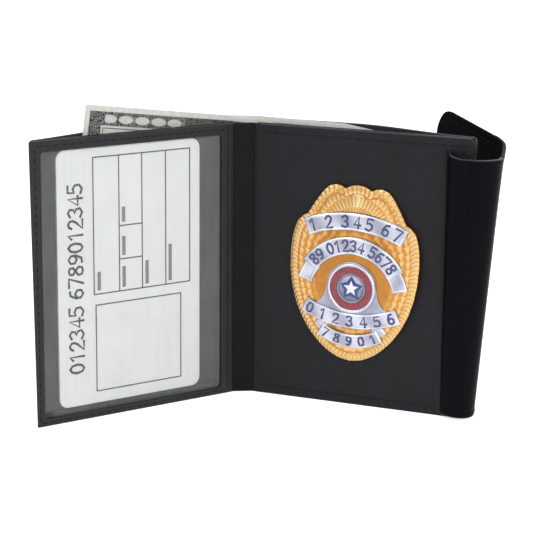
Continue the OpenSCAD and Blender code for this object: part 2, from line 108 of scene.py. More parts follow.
def on_id_sheet(u, y, z):
    """The ID leaf with its sewn free end: the layers are pressed closer there, each is cut a little shorter
    than the one in front of it, and the edge leans in by 0.8 mm at the foot and out by 0.5 mm at the
    head."""
    end = part_way(u, 60, LEAF_W) ** 2
    depth = y * (1 - 0.24 * end)
    return on_id_leaf(u - 0.5 * depth * end - part_way(u, 73, LEAF_W) * (0.8 - 1.3 * z / LEAF_H), depth, z)


def on_badge_sheet(u, y, z):
    """The badge leaf, whose free end leans in at the foot, by 0.9 mm in front and 1.5 mm at the shell."""
    lean = 0.9 + 0.6 * smooth((np.asarray(y) - BACKING_Y) / 1.2)
    return in_row(u - lean * part_way(u, 70, LEAF_W) * (1 - z / LEAF_H), y, z)


def from_seam(x, y, z):
    """x along the cover's lead, y across it, from the cover's seam."""
    across, back = turned(x, y, LEAD_TURN)
    return in_row(SEAM_X + across, SEAM_Y + back, z)


def on_roll(x, y, z):
    """The leaning frame whose z axis is the roll's first fold. At its foot the roll is drawn in towards the
    leaf, by 0.5 mm at the lead's end, 0.8 mm from the roll's front on and 2.8 mm behind the leaf; its head
    dips by DIP there."""
    front = 1 - (1 - smooth((x + 2) / 7)) * (1 - smooth((y - 1) / 4))
    drawn = (LEAD_DRAWN + 0.3 * front + 2.0 * smooth((y - 9) / 8)) * (1 - z / COVER_H)
    return from_seam(LEAD_W + x * math.cos(LEAN) + z * math.sin(LEAN) - drawn, y,
                     LIFT - x * math.sin(LEAN) + z * math.cos(LEAN) - DIP * (1 - front) * (z / COVER_H) ** 4)


def on_lead(x, y, z):
    """Hem where x < 0; for x from 0 to 2 the stretch between the upright seam and the leaning fold, which
    swells towards the viewer near its head as 6.75 t (1 - t)^2 and whose edge dips there."""
    share = part_way(x, 0, NEAR_FOLD)
    width = LEAD_W - NEAR_FOLD * math.cos(LEAN) + z * math.sin(LEAN) - LEAD_DRAWN * (1 - z / COVER_H)
    seam_z = 1.135 + z * 88.505 / COVER_H
    fold_z = LIFT + NEAR_FOLD * math.sin(LEAN) + z * math.cos(LEAN)
    bulge = 2.2 * 6.75 * share * (1 - share) ** 2 * z / COVER_H
    dip = DIP * smooth(1.3 * share) + 1.6 * share * (1 - share)
    return from_seam(np.where(x > 0, share * width, x), y - bulge,
                     seam_z * (1 - share) + fold_z * share - dip * (z / COVER_H) ** 4)


def dome(x, z):
    """Height of the badge's dome over the leather: a cap of a sphere of radius DOME_R."""
    return DOME_TOP - DOME_R + np.sqrt(DOME_R ** 2 - x ** 2 - z ** 2)


def on_badge(x, h, z):
    """x and z in the badge's plane, h its height over the leather."""
    x, z = turned(x, z, -BADGE_TURN)
    return in_row(BADGE_X + x, -h, BADGE_Z + z)


def into_badge(x, y, z):
    """The badge's plane with y measured backwards, as a thick sheet has it."""
    return on_badge(x, -y, z)


# Mesh makers

def mesh_piece(name, points, faces, materials, marks=None, lay=None, height=None, sharp=40):
    """Puts points (metres) and arrays of faces into an object at the origin, turned outwards by the sign of
    its volume. marks picks the slot of the first faces; lay and height are attributes of the points."""
    points = np.asarray(points, float).reshape(-1, 3)
    fans = np.concatenate([q[:, [0, i, i + 1]] for q in faces for i in range(1, q.shape[1] - 1)])
    a, b, c = (points[fans[:, i]] - points.mean(0) for i in range(3))
    outwards = np.einsum("ij,ij->i", a, np.cross(b, c)).sum() > 0
    polygons = [p if outwards else p[::-1] for q in faces for p in q.tolist()]
    mesh = bpy.data.meshes.new(name)
    mesh.from_pydata(points.tolist(), [], polygons)
    for material in materials:
        mesh.materials.append(material)
    if marks is not None:
        mesh.polygons.foreach_set("material_index", np.pad(marks, (0, len(polygons) - len(marks))))
    for key, kind, field, values in (("lay", "FLOAT_VECTOR", "vector", lay),
                                     ("height", "FLOAT", "value", height)):
        if values is not None:
            values = np.asarray(values, np.float32).reshape(-1)
            mesh.attributes.new(key, kind, "POINT").data.foreach_set(field, values)
    mesh.shade_smooth()
    mesh.set_sharp_from_angle(angle=math.radians(sharp))
    mesh.update()
    made = bpy.data.objects.new(name, mesh)
    bpy.context.scene.collection.objects.link(made)
    return made


def ring_quads(rings, around, closed=False):
    """Quads between neighbouring loops of points, where each loop has the same number of points."""
    i, j = np.meshgrid(np.arange(rings if closed else rings - 1), np.arange(around), indexing="ij")
    i2, j2 = (i + 1) % rings, (j + 1) % around
    return np.stack([i * around + j, i * around + j2, i2 * around + j2, i2 * around + j], -1).reshape(-1, 4)


def skin(name, rings, materials, closed=False, **rest):
    """A surface through loops of points, joined end to end or closed by one face at each end."""
    rings = np.asarray(rings)
    n, around = rings.shape[:2]
    loop = np.arange(around)[None]
    caps = [] if closed else [loop[:, ::-1], loop + (n - 1) * around]
    return mesh_piece(name, rings, [ring_quads(n, around, closed), *caps], materials, **rest)


def merged(name, parts, materials, **rest):
    """Several (points, quads) parts as one mesh."""
    points = [np.asarray(p).reshape(-1, 3) for p, _ in parts]
    starts = np.cumsum([0] + [len(p) for p in points])
    faces = np.concatenate([q + start for (_, q), start in zip(parts, starts)])
    return mesh_piece(name, np.concatenate(points), [faces], materials, **rest)


def spread(n, ease):
    """n shares from 0 to 1, closer together near both ends: t - ease * sin(2 pi t) / (2 pi)."""
    t = np.linspace(0, 1, n)
    return t - ease * np.sin(2 * np.pi * t) / (2 * np.pi)


def inset(distance, radius):
    """How far a rounded end stands back at a distance from its tip: r - sqrt(r^2 - (r - d)^2)."""
    d = np.clip(distance, 0, radius)
    return radius - np.sqrt(np.maximum(radius ** 2 - (radius - d) ** 2, 0))


def laid_path(x, y, heading, parts):
    """Stations (x, y, heading, run) along straights and arcs: parts are (length, turn in radians, steps).
    Each step's chord is 2 R sin(turn / 2), with R the length over the turn; a length of zero turns on the
    spot."""
    turn = np.concatenate([np.full(n, t / n) for _, t, n in parts])
    length = np.concatenate([np.full(n, long / n) for long, _, n in parts])
    chord = length * np.sinc(turn / 2 / np.pi)
    ahead = np.concatenate([[0], np.cumsum(turn)]) + heading
    middle = ahead[:-1] + turn / 2
    x, y, run = (np.concatenate([[0], np.cumsum(step)]) + first for step, first in
                 ((chord * np.cos(middle), x), (chord * np.sin(middle), y), (length, 0)))
    return x, y, ahead, run


def straight_path(run, x=0, y=0, heading=0):
    """Stations of a straight path: its start plus the run along its heading."""
    return x + run * math.cos(heading), y + run * math.sin(heading), np.full(run.shape, float(heading)), run


def leaf_stations(start, end, count, r=CORNER_R):
    """Even stations with a cosine-spaced run over the rounded end."""
    tip = end - r * (1 - np.sin(np.linspace(0, np.pi / 2, 9)[1:]))
    return np.concatenate([np.linspace(start, end - r, count), tip])


def thick_sheet(name, path, side, low, high, front, back, place, materials, edge=0.3, rows=60, ease=0.85,
                marks=None, lay=None, height=None, ends=(0, 0), sharp=40):
    """A sheet with thickness: a closed loop in height and depth, carried along a path. The loop runs up the
    front over quarter-round edges of radius edge and down the back; depth is measured from the path to its
    left (side 1) or right (side -1). front and back are depths, or functions of the station and the height.
    At an end whose radius in ends isn't zero the loop thins as a quarter circle. lay is (station, depth,
    height) in mm unless a function of them is given."""
    x, y, heading, s = path
    low, high = (np.broadcast_to(np.asarray(v, float), s.shape)[:, None] for v in (low, high))
    arc = np.linspace(0, np.pi / 2, 5)
    f = spread(rows, ease)
    share = np.concatenate([np.zeros(4), f, np.ones(4)])
    edge_z = np.concatenate([(1 - np.cos(arc))[:-1], 1 - 2 * f, (np.sin(arc) - 1)[1:]])
    edge_y = np.concatenate([(1 - np.sin(arc))[:-1], 0 * f, (1 - np.cos(arc))[1:]])
    near = np.minimum(edge, 0.49 * (high - low))
    z = low + share * (high - low) + near * edge_z
    y0, y1 = (at(s[:, None] + 0 * z, z) if callable(at) else at + 0 * z for at in (front, back))
    ends_in = sum(inset(d, r)[:, None] for d, r in ((s - s[0], ends[0]), (s[-1] - s, ends[1])) if r) + 0 * z
    thin = np.maximum(np.minimum(near, 0.48 * (y1 - y0)) * edge_y, np.minimum(ends_in, 0.45 * (y1 - y0)))
    depth = np.concatenate([y0 + thin, (y1 - thin)[:, ::-1]], 1)
    z = np.concatenate([z, z[:, ::-1]], 1)
    across = heading[:, None] + side * np.pi / 2
    points = place(x[:, None] + depth * np.cos(across), y[:, None] + depth * np.sin(across), z)
    n, around = depth.shape
    half = np.arange(around // 2 - 1)
    cap = np.stack([half, half + 1, around - 2 - half, around - 1 - half], -1)
    run = s[:, None] + 0 * z
    if marks is not None:
        middle = (z[1:] + z[:-1]) / 2
        middle = (middle + np.roll(middle, -1, 1)) / 2
        marks = (marks((run[1:] + run[:-1]) / 2, middle) + 0).astype(np.int32).reshape(-1)
    return mesh_piece(name, points, [ring_quads(n, around), cap[:, ::-1], cap + (n - 1) * around], materials,
                      marks, np.stack([run, depth, z], -1) if lay is None else lay(run, depth, z),
                      height and height(run, z), sharp)


def capsules(name, starts, ends, radius, material):
    """Stitches: a row of thread capsules, six sides round and five rings along each."""
    along = ends - starts
    long = np.linalg.norm(along, axis=1, keepdims=True)
    other = np.cross(along / long, [0.3, 0.2, 0.93])
    other /= np.linalg.norm(other, axis=1, keepdims=True)
    third = np.cross(along / long, other)
    shares, sizes = np.array([0, 0.14, 0.5, 0.86, 1]), np.array([0.35, 0.85, 1, 0.85, 0.35]) * radius * MM
    a = np.linspace(0, 2 * np.pi, 7)[:-1, None]
    ring = (other[:, None, None] * np.cos(a) + third[:, None, None] * np.sin(a)) * sizes[:, None, None]
    points = starts[:, None, None] + along[:, None, None] * shares[:, None, None] + ring
    caps = np.array([[0, 1, 2, 3], [0, 3, 4, 5]])
    one = np.concatenate([ring_quads(5, 6), caps[:, ::-1], caps + 24])
    quads = (one + (np.arange(len(starts)) * 30)[:, None, None]).reshape(-1, 4)
    return mesh_piece(name, points, [quads], [material], sharp=60)


def stitch_line(place, a, b, depth, long=2.0, pitch=2.9):
    """Starts and ends of stitches from a to b in (x, z) of a place, lying at one depth."""
    a, b = np.array(a, float), np.array(b, float)
    total = np.linalg.norm(b - a)
    count = int(total // pitch)
    along = (b - a) / total
    first = (np.arange(count)[:, None] * (total / count) + (total / count - long) / 2) * along + a
    return [place(p[:, 0], depth, p[:, 1]) for p in (first, first + along * long)]


def settle(made, body, slot=None, *nodes):
    """Rides a piece on its body and hides the CAD nodes that it replaces."""
    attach(made, body)
    describe(made, slot, *nodes)


def describe(made, slot, *nodes):
    """Hides the CAD nodes that a piece replaces; slot is not used."""
    if nodes:
        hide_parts(*nodes)


def bent(made, bodies, start, end, keep_off, slot, *nodes):
    """Bakes a piece's transform into its mesh and hides the CAD nodes that it replaces. bodies, start, end
    and keep_off are not used.
    """
    start, end = np.asarray(start, float).reshape(3), np.asarray(end, float).reshape(3)
    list(bodies)
    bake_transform(made)
    describe(made, slot, *nodes)


# Materials

def colour(text):
    """sRGB hex to linear: c / 12.92 below 0.04045, else ((c + 0.055) / 1.055) ^ 2.4."""
    values = [int(text[i:i + 2], 16) / 255 for i in (1, 3, 5)]
    return [c / 12.92 if c <= 0.04045 else ((c + 0.055) / 1.055) ** 2.4 for c in values] + [1.0]


def node(tree, kind, *values, out=0, **settings):
    """Adds a node of a kind, with its operation after a space. Values go to its first sockets. Settings go
    to properties or, with _ for a space, to named sockets, and stops of (position, hex) to a colour ramp.
    An output is linked and anything else is set. Gives the output named by out, or a list for several."""
    kind, _, operation = kind.partition(" ")
    made = tree.nodes.new("ShaderNode" + kind)
    if operation:
        made.operation = operation
    for key, value in [*settings.items(), *enumerate(values)]:
        if key == "stops":
            while len(made.color_ramp.elements) < len(value):
                made.color_ramp.elements.new(0.5)
            for element, (at, text) in zip(made.color_ramp.elements, value):
                element.position, element.color = at, colour(text)
        elif isinstance(key, str) and hasattr(made, key):
            setattr(made, key, value)
        elif value is not None:
            socket = made.inputs[key.replace("_", " ") if isinstance(key, str) else key]
            if isinstance(value, bpy.types.NodeSocket):
                tree.links.new(value, socket)
            else:
                socket.default_value = value
    return [made.outputs[o] for o in out] if isinstance(out, tuple) else made.outputs[out]


def material(name, surface, *values, **settings):
    """A material whose shader surface gives; it adds its nodes with the function that it is handed."""
    made = bpy.data.materials.new(name)
    made.use_nodes = True
    made.node_tree.nodes.clear()
    add = functools.partial(node, made.node_tree)
    add("OutputMaterial", surface(add, *values, **settings), out=())
    return made


def in_mm(add, lay=False):
    """Pattern coordinates in mm: the sheet's own lay, or Object coordinates for a piece without one."""
    if lay:
        return add("Attribute", attribute_name="lay", out="Vector")
    return add("Mapping", add("TexCoord", out="Object"), Scale=(1000, 1000, 1000))


def coated(add, tone, stops, height, strength, depth, **settings):
    """A shader with a ramp of colours over tone and relief of some depth in mm from height."""
    return add("BsdfPrincipled", Base_Color=add("ValToRGB", tone, stops=stops),
               Normal=add("Bump", Height=height, Strength=strength, Distance=depth * MM), **settings)


def leather(add, dark, pale, specular, rough, grain, depth, lay=True, folds=0.0):
    """Chrome-tanned leather with a pigmented finish. The grain is cells of some half a millimetre, drawn a
    little coarser than real so that it shows, under soft mottling; roughness breaks up with the grain.
    Folds are creases 1.1 mm apart along the height."""
    at = in_mm(add, lay)
    cells = add("TexVoronoi", at, feature="SMOOTH_F1", Scale=1 / grain, Smoothness=0.6)
    pores = add("TexNoise", at, Scale=1 / 0.22, Detail=4.0)
    mottle = add("TexNoise", at, Scale=1 / 14, Detail=5.0, Roughness=0.6)
    fine = add("Math MULTIPLY_ADD", pores, 0.45, add("Math MULTIPLY", cells, 0.9))
    if folds:
        creases = add("TexNoise", add("Mapping", at, Scale=(1.0, 1.0, 0.06)), Scale=1 / 1.1, Detail=3.0)
        fine = add("Math MULTIPLY_ADD", creases, folds, fine)
    tone = add("Math MULTIPLY_ADD", cells, 0.35, add("Math MULTIPLY", mottle, 0.8))
    return coated(add, tone, [(0.25, dark), (0.85, pale)], fine, 0.55, depth, Specular_IOR_Level=specular,
                  IOR=1.5, Roughness=add("Math MULTIPLY_ADD", mottle, 0.22, rough - 0.11))


def woven(add, dark, pale, thread=0.45):
    """Plain weave: two crossed waves, one thread every 0.45 mm, coarser than real, with slubs 3 mm long."""
    at = in_mm(add)
    warp, weft = (add("Math SINE", add("Math MULTIPLY", across, 2 * math.pi / thread))
                  for across in add("SeparateXYZ", at, out=("X", "Z")))
    height = add("Math MULTIPLY_ADD", add("Math MULTIPLY", warp, weft), 0.5, 0.5)
    slub = add("TexNoise", at, Scale=1 / 3.0, Detail=4.0)
    tone = add("Math MULTIPLY_ADD", height, 0.5, add("Math MULTIPLY", slub, 0.5))
    return coated(add, tone, [(0.2, dark), (0.9, pale)], height, 0.5, 0.05, Roughness=0.7,
                  Specular_IOR_Level=0.25, Sheen_Weight=0.2)


def struck_metal(add, hollow, middle, ridge, rough):
    """Die-struck brass with a bright plating: polished on the ridges, matt and darker in the hollows.
    The height attribute tells ridge from hollow, and on the plate also darkens the middle as painted shade; a
    fine tooling grain of 0.25 mm breaks the gloss."""
    at = in_mm(add)
    tooling = add("TexNoise", at, Scale=1 / 0.25, Detail=3.0)
    patch = add("TexNoise", at, Scale=1 / 3.5, Detail=4.0)
    height = add("Attribute", attribute_name="height", out="Fac")
    level = add("Math MULTIPLY_ADD", patch, 0.3, add("Math SUBTRACT", height, 0.15))
    return coated(add, level, [(0.08, hollow), (0.42, middle), (0.95, ridge)], tooling, 0.35, 0.03,
                  Metallic=1.0, Roughness=add("Math MULTIPLY_ADD", height, -0.14, rough + 0.16))


def enamel(add, deep, light, rough=0.16):
    """Fired or epoxy enamel: a hard glossy coat over a colour that clouds slightly over 1.6 mm."""
    at = in_mm(add)
    cloud = add("TexNoise", at, Scale=1 / 1.6, Detail=3.0)
    orange_peel = add("TexNoise", at, Scale=1 / 0.7)
    return coated(add, cloud, [(0.3, deep), (0.75, light)], orange_peel, 0.2, 0.03, Roughness=rough,
                  Coat_Weight=0.5, Coat_Roughness=0.08)


def plain_stock(add, dark, pale, rough, grain, depth, specular=0.5, metallic=0.0):
    """Moulded, pressed or drawn stock: colour clouding over 9 mm and a surface grain of a given width."""
    at = in_mm(add)
    cloud = add("TexNoise", at, Scale=1 / 9, Detail=4.0)
    fibre = add("TexNoise", at, Scale=1 / grain, Detail=3.0)
    tone = add("Math MULTIPLY_ADD", fibre, 0.35, add("Math MULTIPLY", cloud, 0.65))
    return coated(add, tone, [(0.3, dark), (0.7, pale)], fibre, 0.4, depth, Metallic=metallic,
                  Specular_IOR_Level=specular, Roughness=add("Math MULTIPLY_ADD", cloud, 0.2, rough - 0.1))


def clear_vinyl(add):
    """Mostly clear, with a slight milky cloudiness, scuffs and slow drawn waves along its height, which bump
    the sheet and thicken the cloudiness in pale streaks: painted reflections.
    """
    at = in_mm(add, True)
    waves = add("TexNoise", add("Mapping", at, Scale=(1.0, 1.0, 0.05)), Scale=1 / 1.4, Detail=3.0)
    scuffs = add("TexNoise", at, Scale=1 / 7, Detail=6.0, Roughness=0.7)
    # Cloudiness thickens along the waves in pale streaks: painted reflections
    haze_and_painted_streaks = add("Math MULTIPLY_ADD", waves, 0.05, add("Math MULTIPLY_ADD", scuffs, 0.04, 0.02))
    bump = add("Bump", Height=waves, Strength=0.5, Distance=0.12 * MM)
    base = add("ValToRGB", scuffs, stops=[(0.3, "#d9dad9"), (0.8, "#eeefee")])
    sheet = add("BsdfPrincipled", Base_Color=base, Normal=bump, Roughness=0.22, IOR=1.53,
                Specular_IOR_Level=0.5)
    gloss = add("Math MULTIPLY", add("Fresnel", IOR=1.45, Normal=bump), 0.5)
    return add("MixShader", add("Math ADD", haze_and_painted_streaks, gloss), add("BsdfTransparent"), sheet)


def banded(add, value, low, high, soft=0.12):
    """1 between two distances in mm, 0 outside, with soft ends."""
    up = add("MapRange", value, From_Min=low - soft, From_Max=low + soft)
    down = add("MapRange", value, From_Min=high - soft, From_Max=high + soft, To_Min=1.0, To_Max=0.0)
    return add("Math MULTIPLY", up, down)


def engraved_paper(add):
    """Rag paper printed from engraved plates. lay is the note's own length and height in mm: a plain
    margin, a dark frame with a row of pale ovals, rules, wave-line tints inside and rosettes of rings. From
    37.5 to 92.8 mm along, the middle is darkened almost flat, with no picture or words."""
    far = 90.0
    at = in_mm(add, True)
    a, b = add("SeparateXYZ", at, out=("X", "Z"))
    from_end = add("Math MINIMUM", a, add("Math SUBTRACT", NOTE_L, a))
    from_head = add("Math MINIMUM", b, add("Math SUBTRACT", NOTE_H, b))
    rim = add("Math MINIMUM", from_end, from_head)
    # Frame from 1.8 to 6.3 mm inside the edge, with ovals every 6.2 mm and a filigree of 1.3 mm cells
    step = add("Math MULTIPLY_ADD", add("Math FRACT", add("Math DIVIDE", a, 6.2)), 2.06, -1.03)
    over = add("Math MULTIPLY_ADD", from_head, 0.7, -0.7 * 4.1)
    oval = banded(add, add("Math ADD", add("Math MULTIPLY", step, step), add("Math MULTIPLY", over, over)),
                  -1.0, 0.85, 0.2)
    ovals = add("Math MULTIPLY", oval, banded(add, from_end, 7.6, far))
    filigree = banded(add, add("TexVoronoi", at, Scale=1 / 1.3, Randomness=0.6), 0.3, 0.52, 0.08)
    border = add("Math MULTIPLY",
                 add("Math SUBTRACT", banded(add, rim, 1.8, 6.3), add("Math MULTIPLY", ovals, 0.85)),
                 add("Math MULTIPLY_ADD", filigree, -0.3, 1.05))
    ruled = add("Math MAXIMUM", banded(add, rim, 7.0, 7.3),
                add("Math MULTIPLY", banded(add, rim, 9.0, 10.2), 0.5))
    # Wave lines 0.7 mm apart, over the ground and the panel
    swing = add("Math SINE", add("Math MULTIPLY", a, 0.55))
    fine = add("Math SINE", add("Math MULTIPLY_ADD", swing, 3.0, add("Math MULTIPLY", b, 9.0)))
    tint = add("Math MULTIPLY", banded(add, rim, 11.5, far), add("Math MULTIPLY_ADD", fine, 0.3, 0.45))
    # The middle of the note, 37.5 to 92.8 mm along, darkened almost flat
    panel = add("Math MULTIPLY",
                add("Math MULTIPLY", banded(add, a, 37.5, 92.8, 1.0), banded(add, rim, 1.8, far)),
                add("Math MULTIPLY_ADD", fine, 0.1, 0.95))
    middle = (-24, 0, -22)
    rings = add("TexWave", add("Mapping", at, Location=middle), wave_type="RINGS", rings_direction="Y",
                Scale=0.55, Distortion=0.0, out="Fac")
    whole = add("VectorMath LENGTH", add("Mapping", at, Location=middle, Scale=(1, 0, 1)), out="Value")
    rosette = add("Math MULTIPLY", banded(add, whole, -5, 9.5, 0.3), rings)
    ink = add("Math MAXIMUM",
              add("Math MAXIMUM", add("Math MAXIMUM", border, panel), add("Math MULTIPLY", tint, 0.45)),
              add("Math MAXIMUM", add("Math MULTIPLY", rosette, 0.7), ruled))
    fibres = add("TexNoise", at, Scale=1 / 1.2, Detail=6.0)
    amount = add("Math MULTIPLY", ink, add("Math MULTIPLY_ADD", fibres, 0.5, 0.65))
    paper = add("ValToRGB", fibres, stops=[(0.3, "#cbcbc5"), (0.75, "#dededa")])
    # A Mix node's factor is socket 0, its colours are sockets 6 and 7 and output 2
    base = add("Mix", amount, *[None] * 5, paper, colour("#2b2b29"), data_type="RGBA", out=2)
    return add("BsdfPrincipled", Base_Color=base,
               Normal=add("Bump", Height=fibres, Strength=0.3, Distance=0.03 * MM),
               Roughness=0.8, Specular_IOR_Level=0.2)


# Smooth black cowhide of the inner faces: even, softly glossy, with a cool tone
face_leather = material("smooth_black_cowhide", leather, "#131417", "#202125", 0.17, 0.48, 0.5, 0.05)
# The window frame is the same hide, made lighter and glossier as a lit copy of it: painted light, for the
# light that falls on the ID leaf
lit_frame_leather = material("lit_copy_black_cowhide", leather, "#161819", "#27292a", 0.26, 0.45, 0.5, 0.05)
# Outer shell: same hide, grain embossed coarser, finish duller
shell_leather = material("embossed_black_cowhide", leather, "#121314", "#202123", 0.26, 0.5, 0.8, 0.09)
# Closing cover: soft black hide with a violet cast, the darkest part
cover_leather = material("soft_black_hide", leather, "#060509", "#0b0a10", 0.05, 0.5, 0.6, 0.07, folds=0.25)
# Pared edges, stained and burnished by rubbing to a soft shine, in a lighter lilac than the faces: partly
# their own finish, partly a painted highlight
edge_stain_and_highlight = material("leather_edge_stain_and_painted_highlight", leather, "#19181d", "#29282e", 0.3, 0.4, 0.35, 0.04)
# The cover's outside is brushed matt: no gleam even along the surface
matt_hide = material("brushed_black_hide", leather, "#111114", "#1d1d21", 0.0, 0.8, 0.45, 0.05)
# Spine strip: thin glove leather creased along its height by opening and closing
spine_leather = material("creased_glove_leather", leather, "#0b0b0e", "#17171b", 0.09, 0.5, 0.4, 0.1,
                         folds=1.1)
# Skived strips inside the seams: unfinished, so dull
pocket_leather = material("pocket_seam_leather", leather, "#0d0d0f", "#18181b", 0.1, 0.6, 0.55, 0.06,
                          lay=False)
# Nylon lining: a fine even weave with a faint bloom
pocket_cloth = material("black_nylon_lining", woven, "#101013", "#242428")
# Pressed board: brown, fibrous and matt at its cut edge
board = material("pressed_fibre_board", plain_stock, "#5c4d3b", "#7a6950", 0.85, 0.5, 0.05, 0.2)
# Calendered flexible PVC: clear, a little milky, with soft streaks of gloss painted into its cloudiness
vinyl = material("clear_vinyl_sheet", clear_vinyl)
# Laminated PVC: near white, smooth, with a satin gloss
card_stock = material("laminated_pvc_card", plain_stock, "#e5e8e9", "#f0f2f3", 0.32, 0.9, 0.01)
# Offset inks: flat, even and duller than the card
card_ink = material("black_offset_ink", plain_stock, "#17181b", "#26282c", 0.5, 0.3, 0.01, 0.3)
pale_ink = material("grey_offset_ink", plain_stock, "#6c7076", "#84888e", 0.5, 0.3, 0.01, 0.3)
# Rag paper: warm grey and matt under dark ink
note_paper = material("engraved_rag_paper", engraved_paper)
# Gilt brass: warm gold, bright on the ridges and brown in the hollows; border and crest are paler
gold = material("bright_gilt_brass", struck_metal, "#8c5826", "#bb8242", "#dab277", 0.3)
pale_gold = material("polished_gilt_brass", struck_metal, "#9a6a34", "#c29253", "#e3c792", 0.28)
# Rhodium plate: cool silver with a violet cast
silver = material("rhodium_plated_brass", struck_metal, "#686a76", "#a6a7b7", "#dcdee8", 0.26)
# Enamels: deep glossy colours, and duller ones where a struck numeral or dot is filled
red_enamel = material("red_fired_enamel", enamel, "#7a1226", "#a0233c")
blue_enamel = material("blue_fired_enamel", enamel, "#1c2668", "#303f92")
ink_enamel = material("dark_blue_enamel_fill", enamel, "#2a2e5c", "#434880", 0.3)
dark_red_enamel = material("dark_red_enamel_fill", enamel, "#571523", "#742033", 0.3)
cloud_enamel = material("grey_blue_fired_enamel", enamel, "#5f6e8c", "#8fa0b8")
white_enamel = material("white_fired_enamel", enamel, "#e4e6ec", "#f4f5f8")
# Drawn steel: pale and evenly bright
pin_steel = material("drawn_steel", plain_stock, "#a4a7ac", "#c2c5c9", 0.3, 0.3, 0.01, metallic=1.0)
# The leaves' thread is waxed, the flap's has gone dull
thread = material("waxed_black_thread", plain_stock, "#121316", "#202124", 0.6, 0.12, 0.04, 0.15)
dull_thread = material("dull_black_thread", plain_stock, "#070708", "#101012", 0.65, 0.12, 0.04, 0.04)

# Inner faces

rng = np.random.default_rng(7)
SWELLS = rng.uniform([0.02, 0.02, 0, 0.3], [0.12, 0.12, 6.28, 1.0], (7, 4))


def unevenness(s, z, depth):
    """Slow swells of a glued-down hide: the sum of a few long sine waves across the panel."""
    return depth * sum(weight * np.sin(a * s + b * z + phase) for a, b, phase, weight in SWELLS) / 2.2


def groove(distance, depth=0.16, width=0.32):
    """A stitched groove: a bell-shaped dent over the seam's line."""
    return depth * np.exp(-(distance / width) ** 2)


def sewn_panel(s, z, swell=0.05, end=0):
    """Dents of a leaf's panel: grooves along foot and head, and along the free end where end is 1, and slow
    swells between them, all fading out at the fold."""
    seams = groove(z - SEAM_IN) + groove(z - (LEAF_H - SEAM_IN)) + end * groove(s - (LEAF_W - SEAM_IN))
    calm = part_way(np.minimum(z, LEAF_H - z), 0, 6) * part_way(s, NEAR_FOLD, NEAR_FOLD + 6)
    return seams * part_way(s, NEAR_FOLD, NEAR_FOLD + 1.5) + unevenness(s, z, swell) * calm


badge_run = leaf_stations(NEAR_FOLD, LEAF_W, 66)
corner = inset(LEAF_W - badge_run, CORNER_R)
# Only the badge leaf's top edge takes the lighter edge material: a painted highlight along it
settle(thick_sheet("badge_face_leather", straight_path(badge_run), 1, corner, LEAF_H - corner, sewn_panel,
                   FACE_T, on_badge_sheet, [face_leather, edge_stain_and_highlight], rows=130, ends=(0, 0.35),
                   marks=lambda s, z: z > LEAF_H - 0.4),
       "badge_leaf", "face_leather", "badge_face")

# The spine strip lies a little behind the leaves' turned edges, and turns smoothly at each fold line
ROUND, STEP_BACK = 2.4, 0.3
TANGENT, ARC = ROUND * math.tan(FOLD / 2), ROUND * FOLD
HALF_SPINE = SPINE_W / 2


def spine_front(s, z):
    """Depth of the strip: zero on the leaf, a rounded step back past the fold line, and upright pleats."""
    back = STEP_BACK / (1 + np.exp(-(s - 1.9) / 0.3))
    pleats = 0.045 * np.sin(2 * np.pi * s / 1.15 + 0.5 * np.sin(z * 0.07)) * smooth((s - 0.6) / 1.6)
    return (back + pleats * np.clip(1.2 - s / 6, 0.3, 1)) * smooth(s / 0.8)


fold_2 = turned(-SPINE_W, 0, FOLD)
ID_HEADING = math.pi + 2 * FOLD
near_2 = (fold_2[0] + NEAR_FOLD * math.cos(ID_HEADING), fold_2[1] + NEAR_FOLD * math.sin(ID_HEADING))
# Each half of the spine: where it starts and heads, its turn, its side, its bodies and the leaf's place
HALVES = {"badge": ((NEAR_FOLD, 0, math.pi), FOLD, -1, ("badge_leaf", "spine"), in_row),
          "id": ((*near_2, ID_HEADING - math.pi), -FOLD, 1, ("spine", "id_leaf"), on_id_leaf)}


def with_bend_run(path, depth):
    """Adds the bend's own length at a depth to the stations of a path that turns on the spot."""
    x, y, heading, run = path
    return x, y, heading, run + np.abs(heading - heading[0]) * depth


def across_fold(made, leaf, depth, height, keep_off, slot, *nodes):
    """Hands a piece that runs from NEAR_FOLD on a leaf to the middle of the spine on to bent."""
    ends = [HALVES[leaf][4](NEAR_FOLD, depth, height), on_spine(-HALF_SPINE, depth, height)]
    bent(made, HALVES[leaf][3], *(ends if leaf == "badge" else ends[::-1]), keep_off, slot, *nodes)


# The ID leaf's fold takes the lit copy of the hide: painted light
for leaf, hide, first, nodes in (("badge", face_leather, NEAR_FOLD, ["spine_face"]),
                                 ("id", lit_frame_leather, -9.2, [])):
    start, turn, side, _, _ = HALVES[leaf]
    path = laid_path(*start, [(NEAR_FOLD - TANGENT, 0, 12), (ARC, turn, 16), (HALF_SPINE - TANGENT, 0, 22)])
    made = thick_sheet(f"{leaf}_fold_leather", path, side, 0, LEAF_H, spine_front, FACE_T, in_row,
                       [hide, spine_leather], rows=90, marks=lambda s, z: s > 1.75,
                       lay=lambda s, y, z: np.stack([first + side * s, y, z], -1))
    across_fold(made, leaf, FACE_T / 2, LEAF_H / 2, 0.35, "face_leather", *nodes)


def rounded_loop(u0, u1, z0, z1, radii, side=26, turn=7):
    """A rectangle with its own radius at each corner, as one loop of points from (u0, z0) round."""
    angles = [np.radians(180 + 90 * i + np.linspace(0, 90, turn)) for i in range(4)]
    arcs = [np.array([u, z]) + r * (np.array(inwards) + np.stack([np.cos(a), np.sin(a)], -1))
            for u, z, inwards, r, a in zip((u0, u1, u1, u0), (z0, z0, z1, z1),
                                           ((1, 1), (-1, 1), (-1, -1), (1, -1)), radii, angles)]
    t = np.linspace(0, 1, side)[1:-1, None]
    return np.concatenate([p for one, following in zip(arcs, arcs[1:] + arcs[:1])
                           for p in (one, one[-1] * (1 - t) + following[0] * t)])


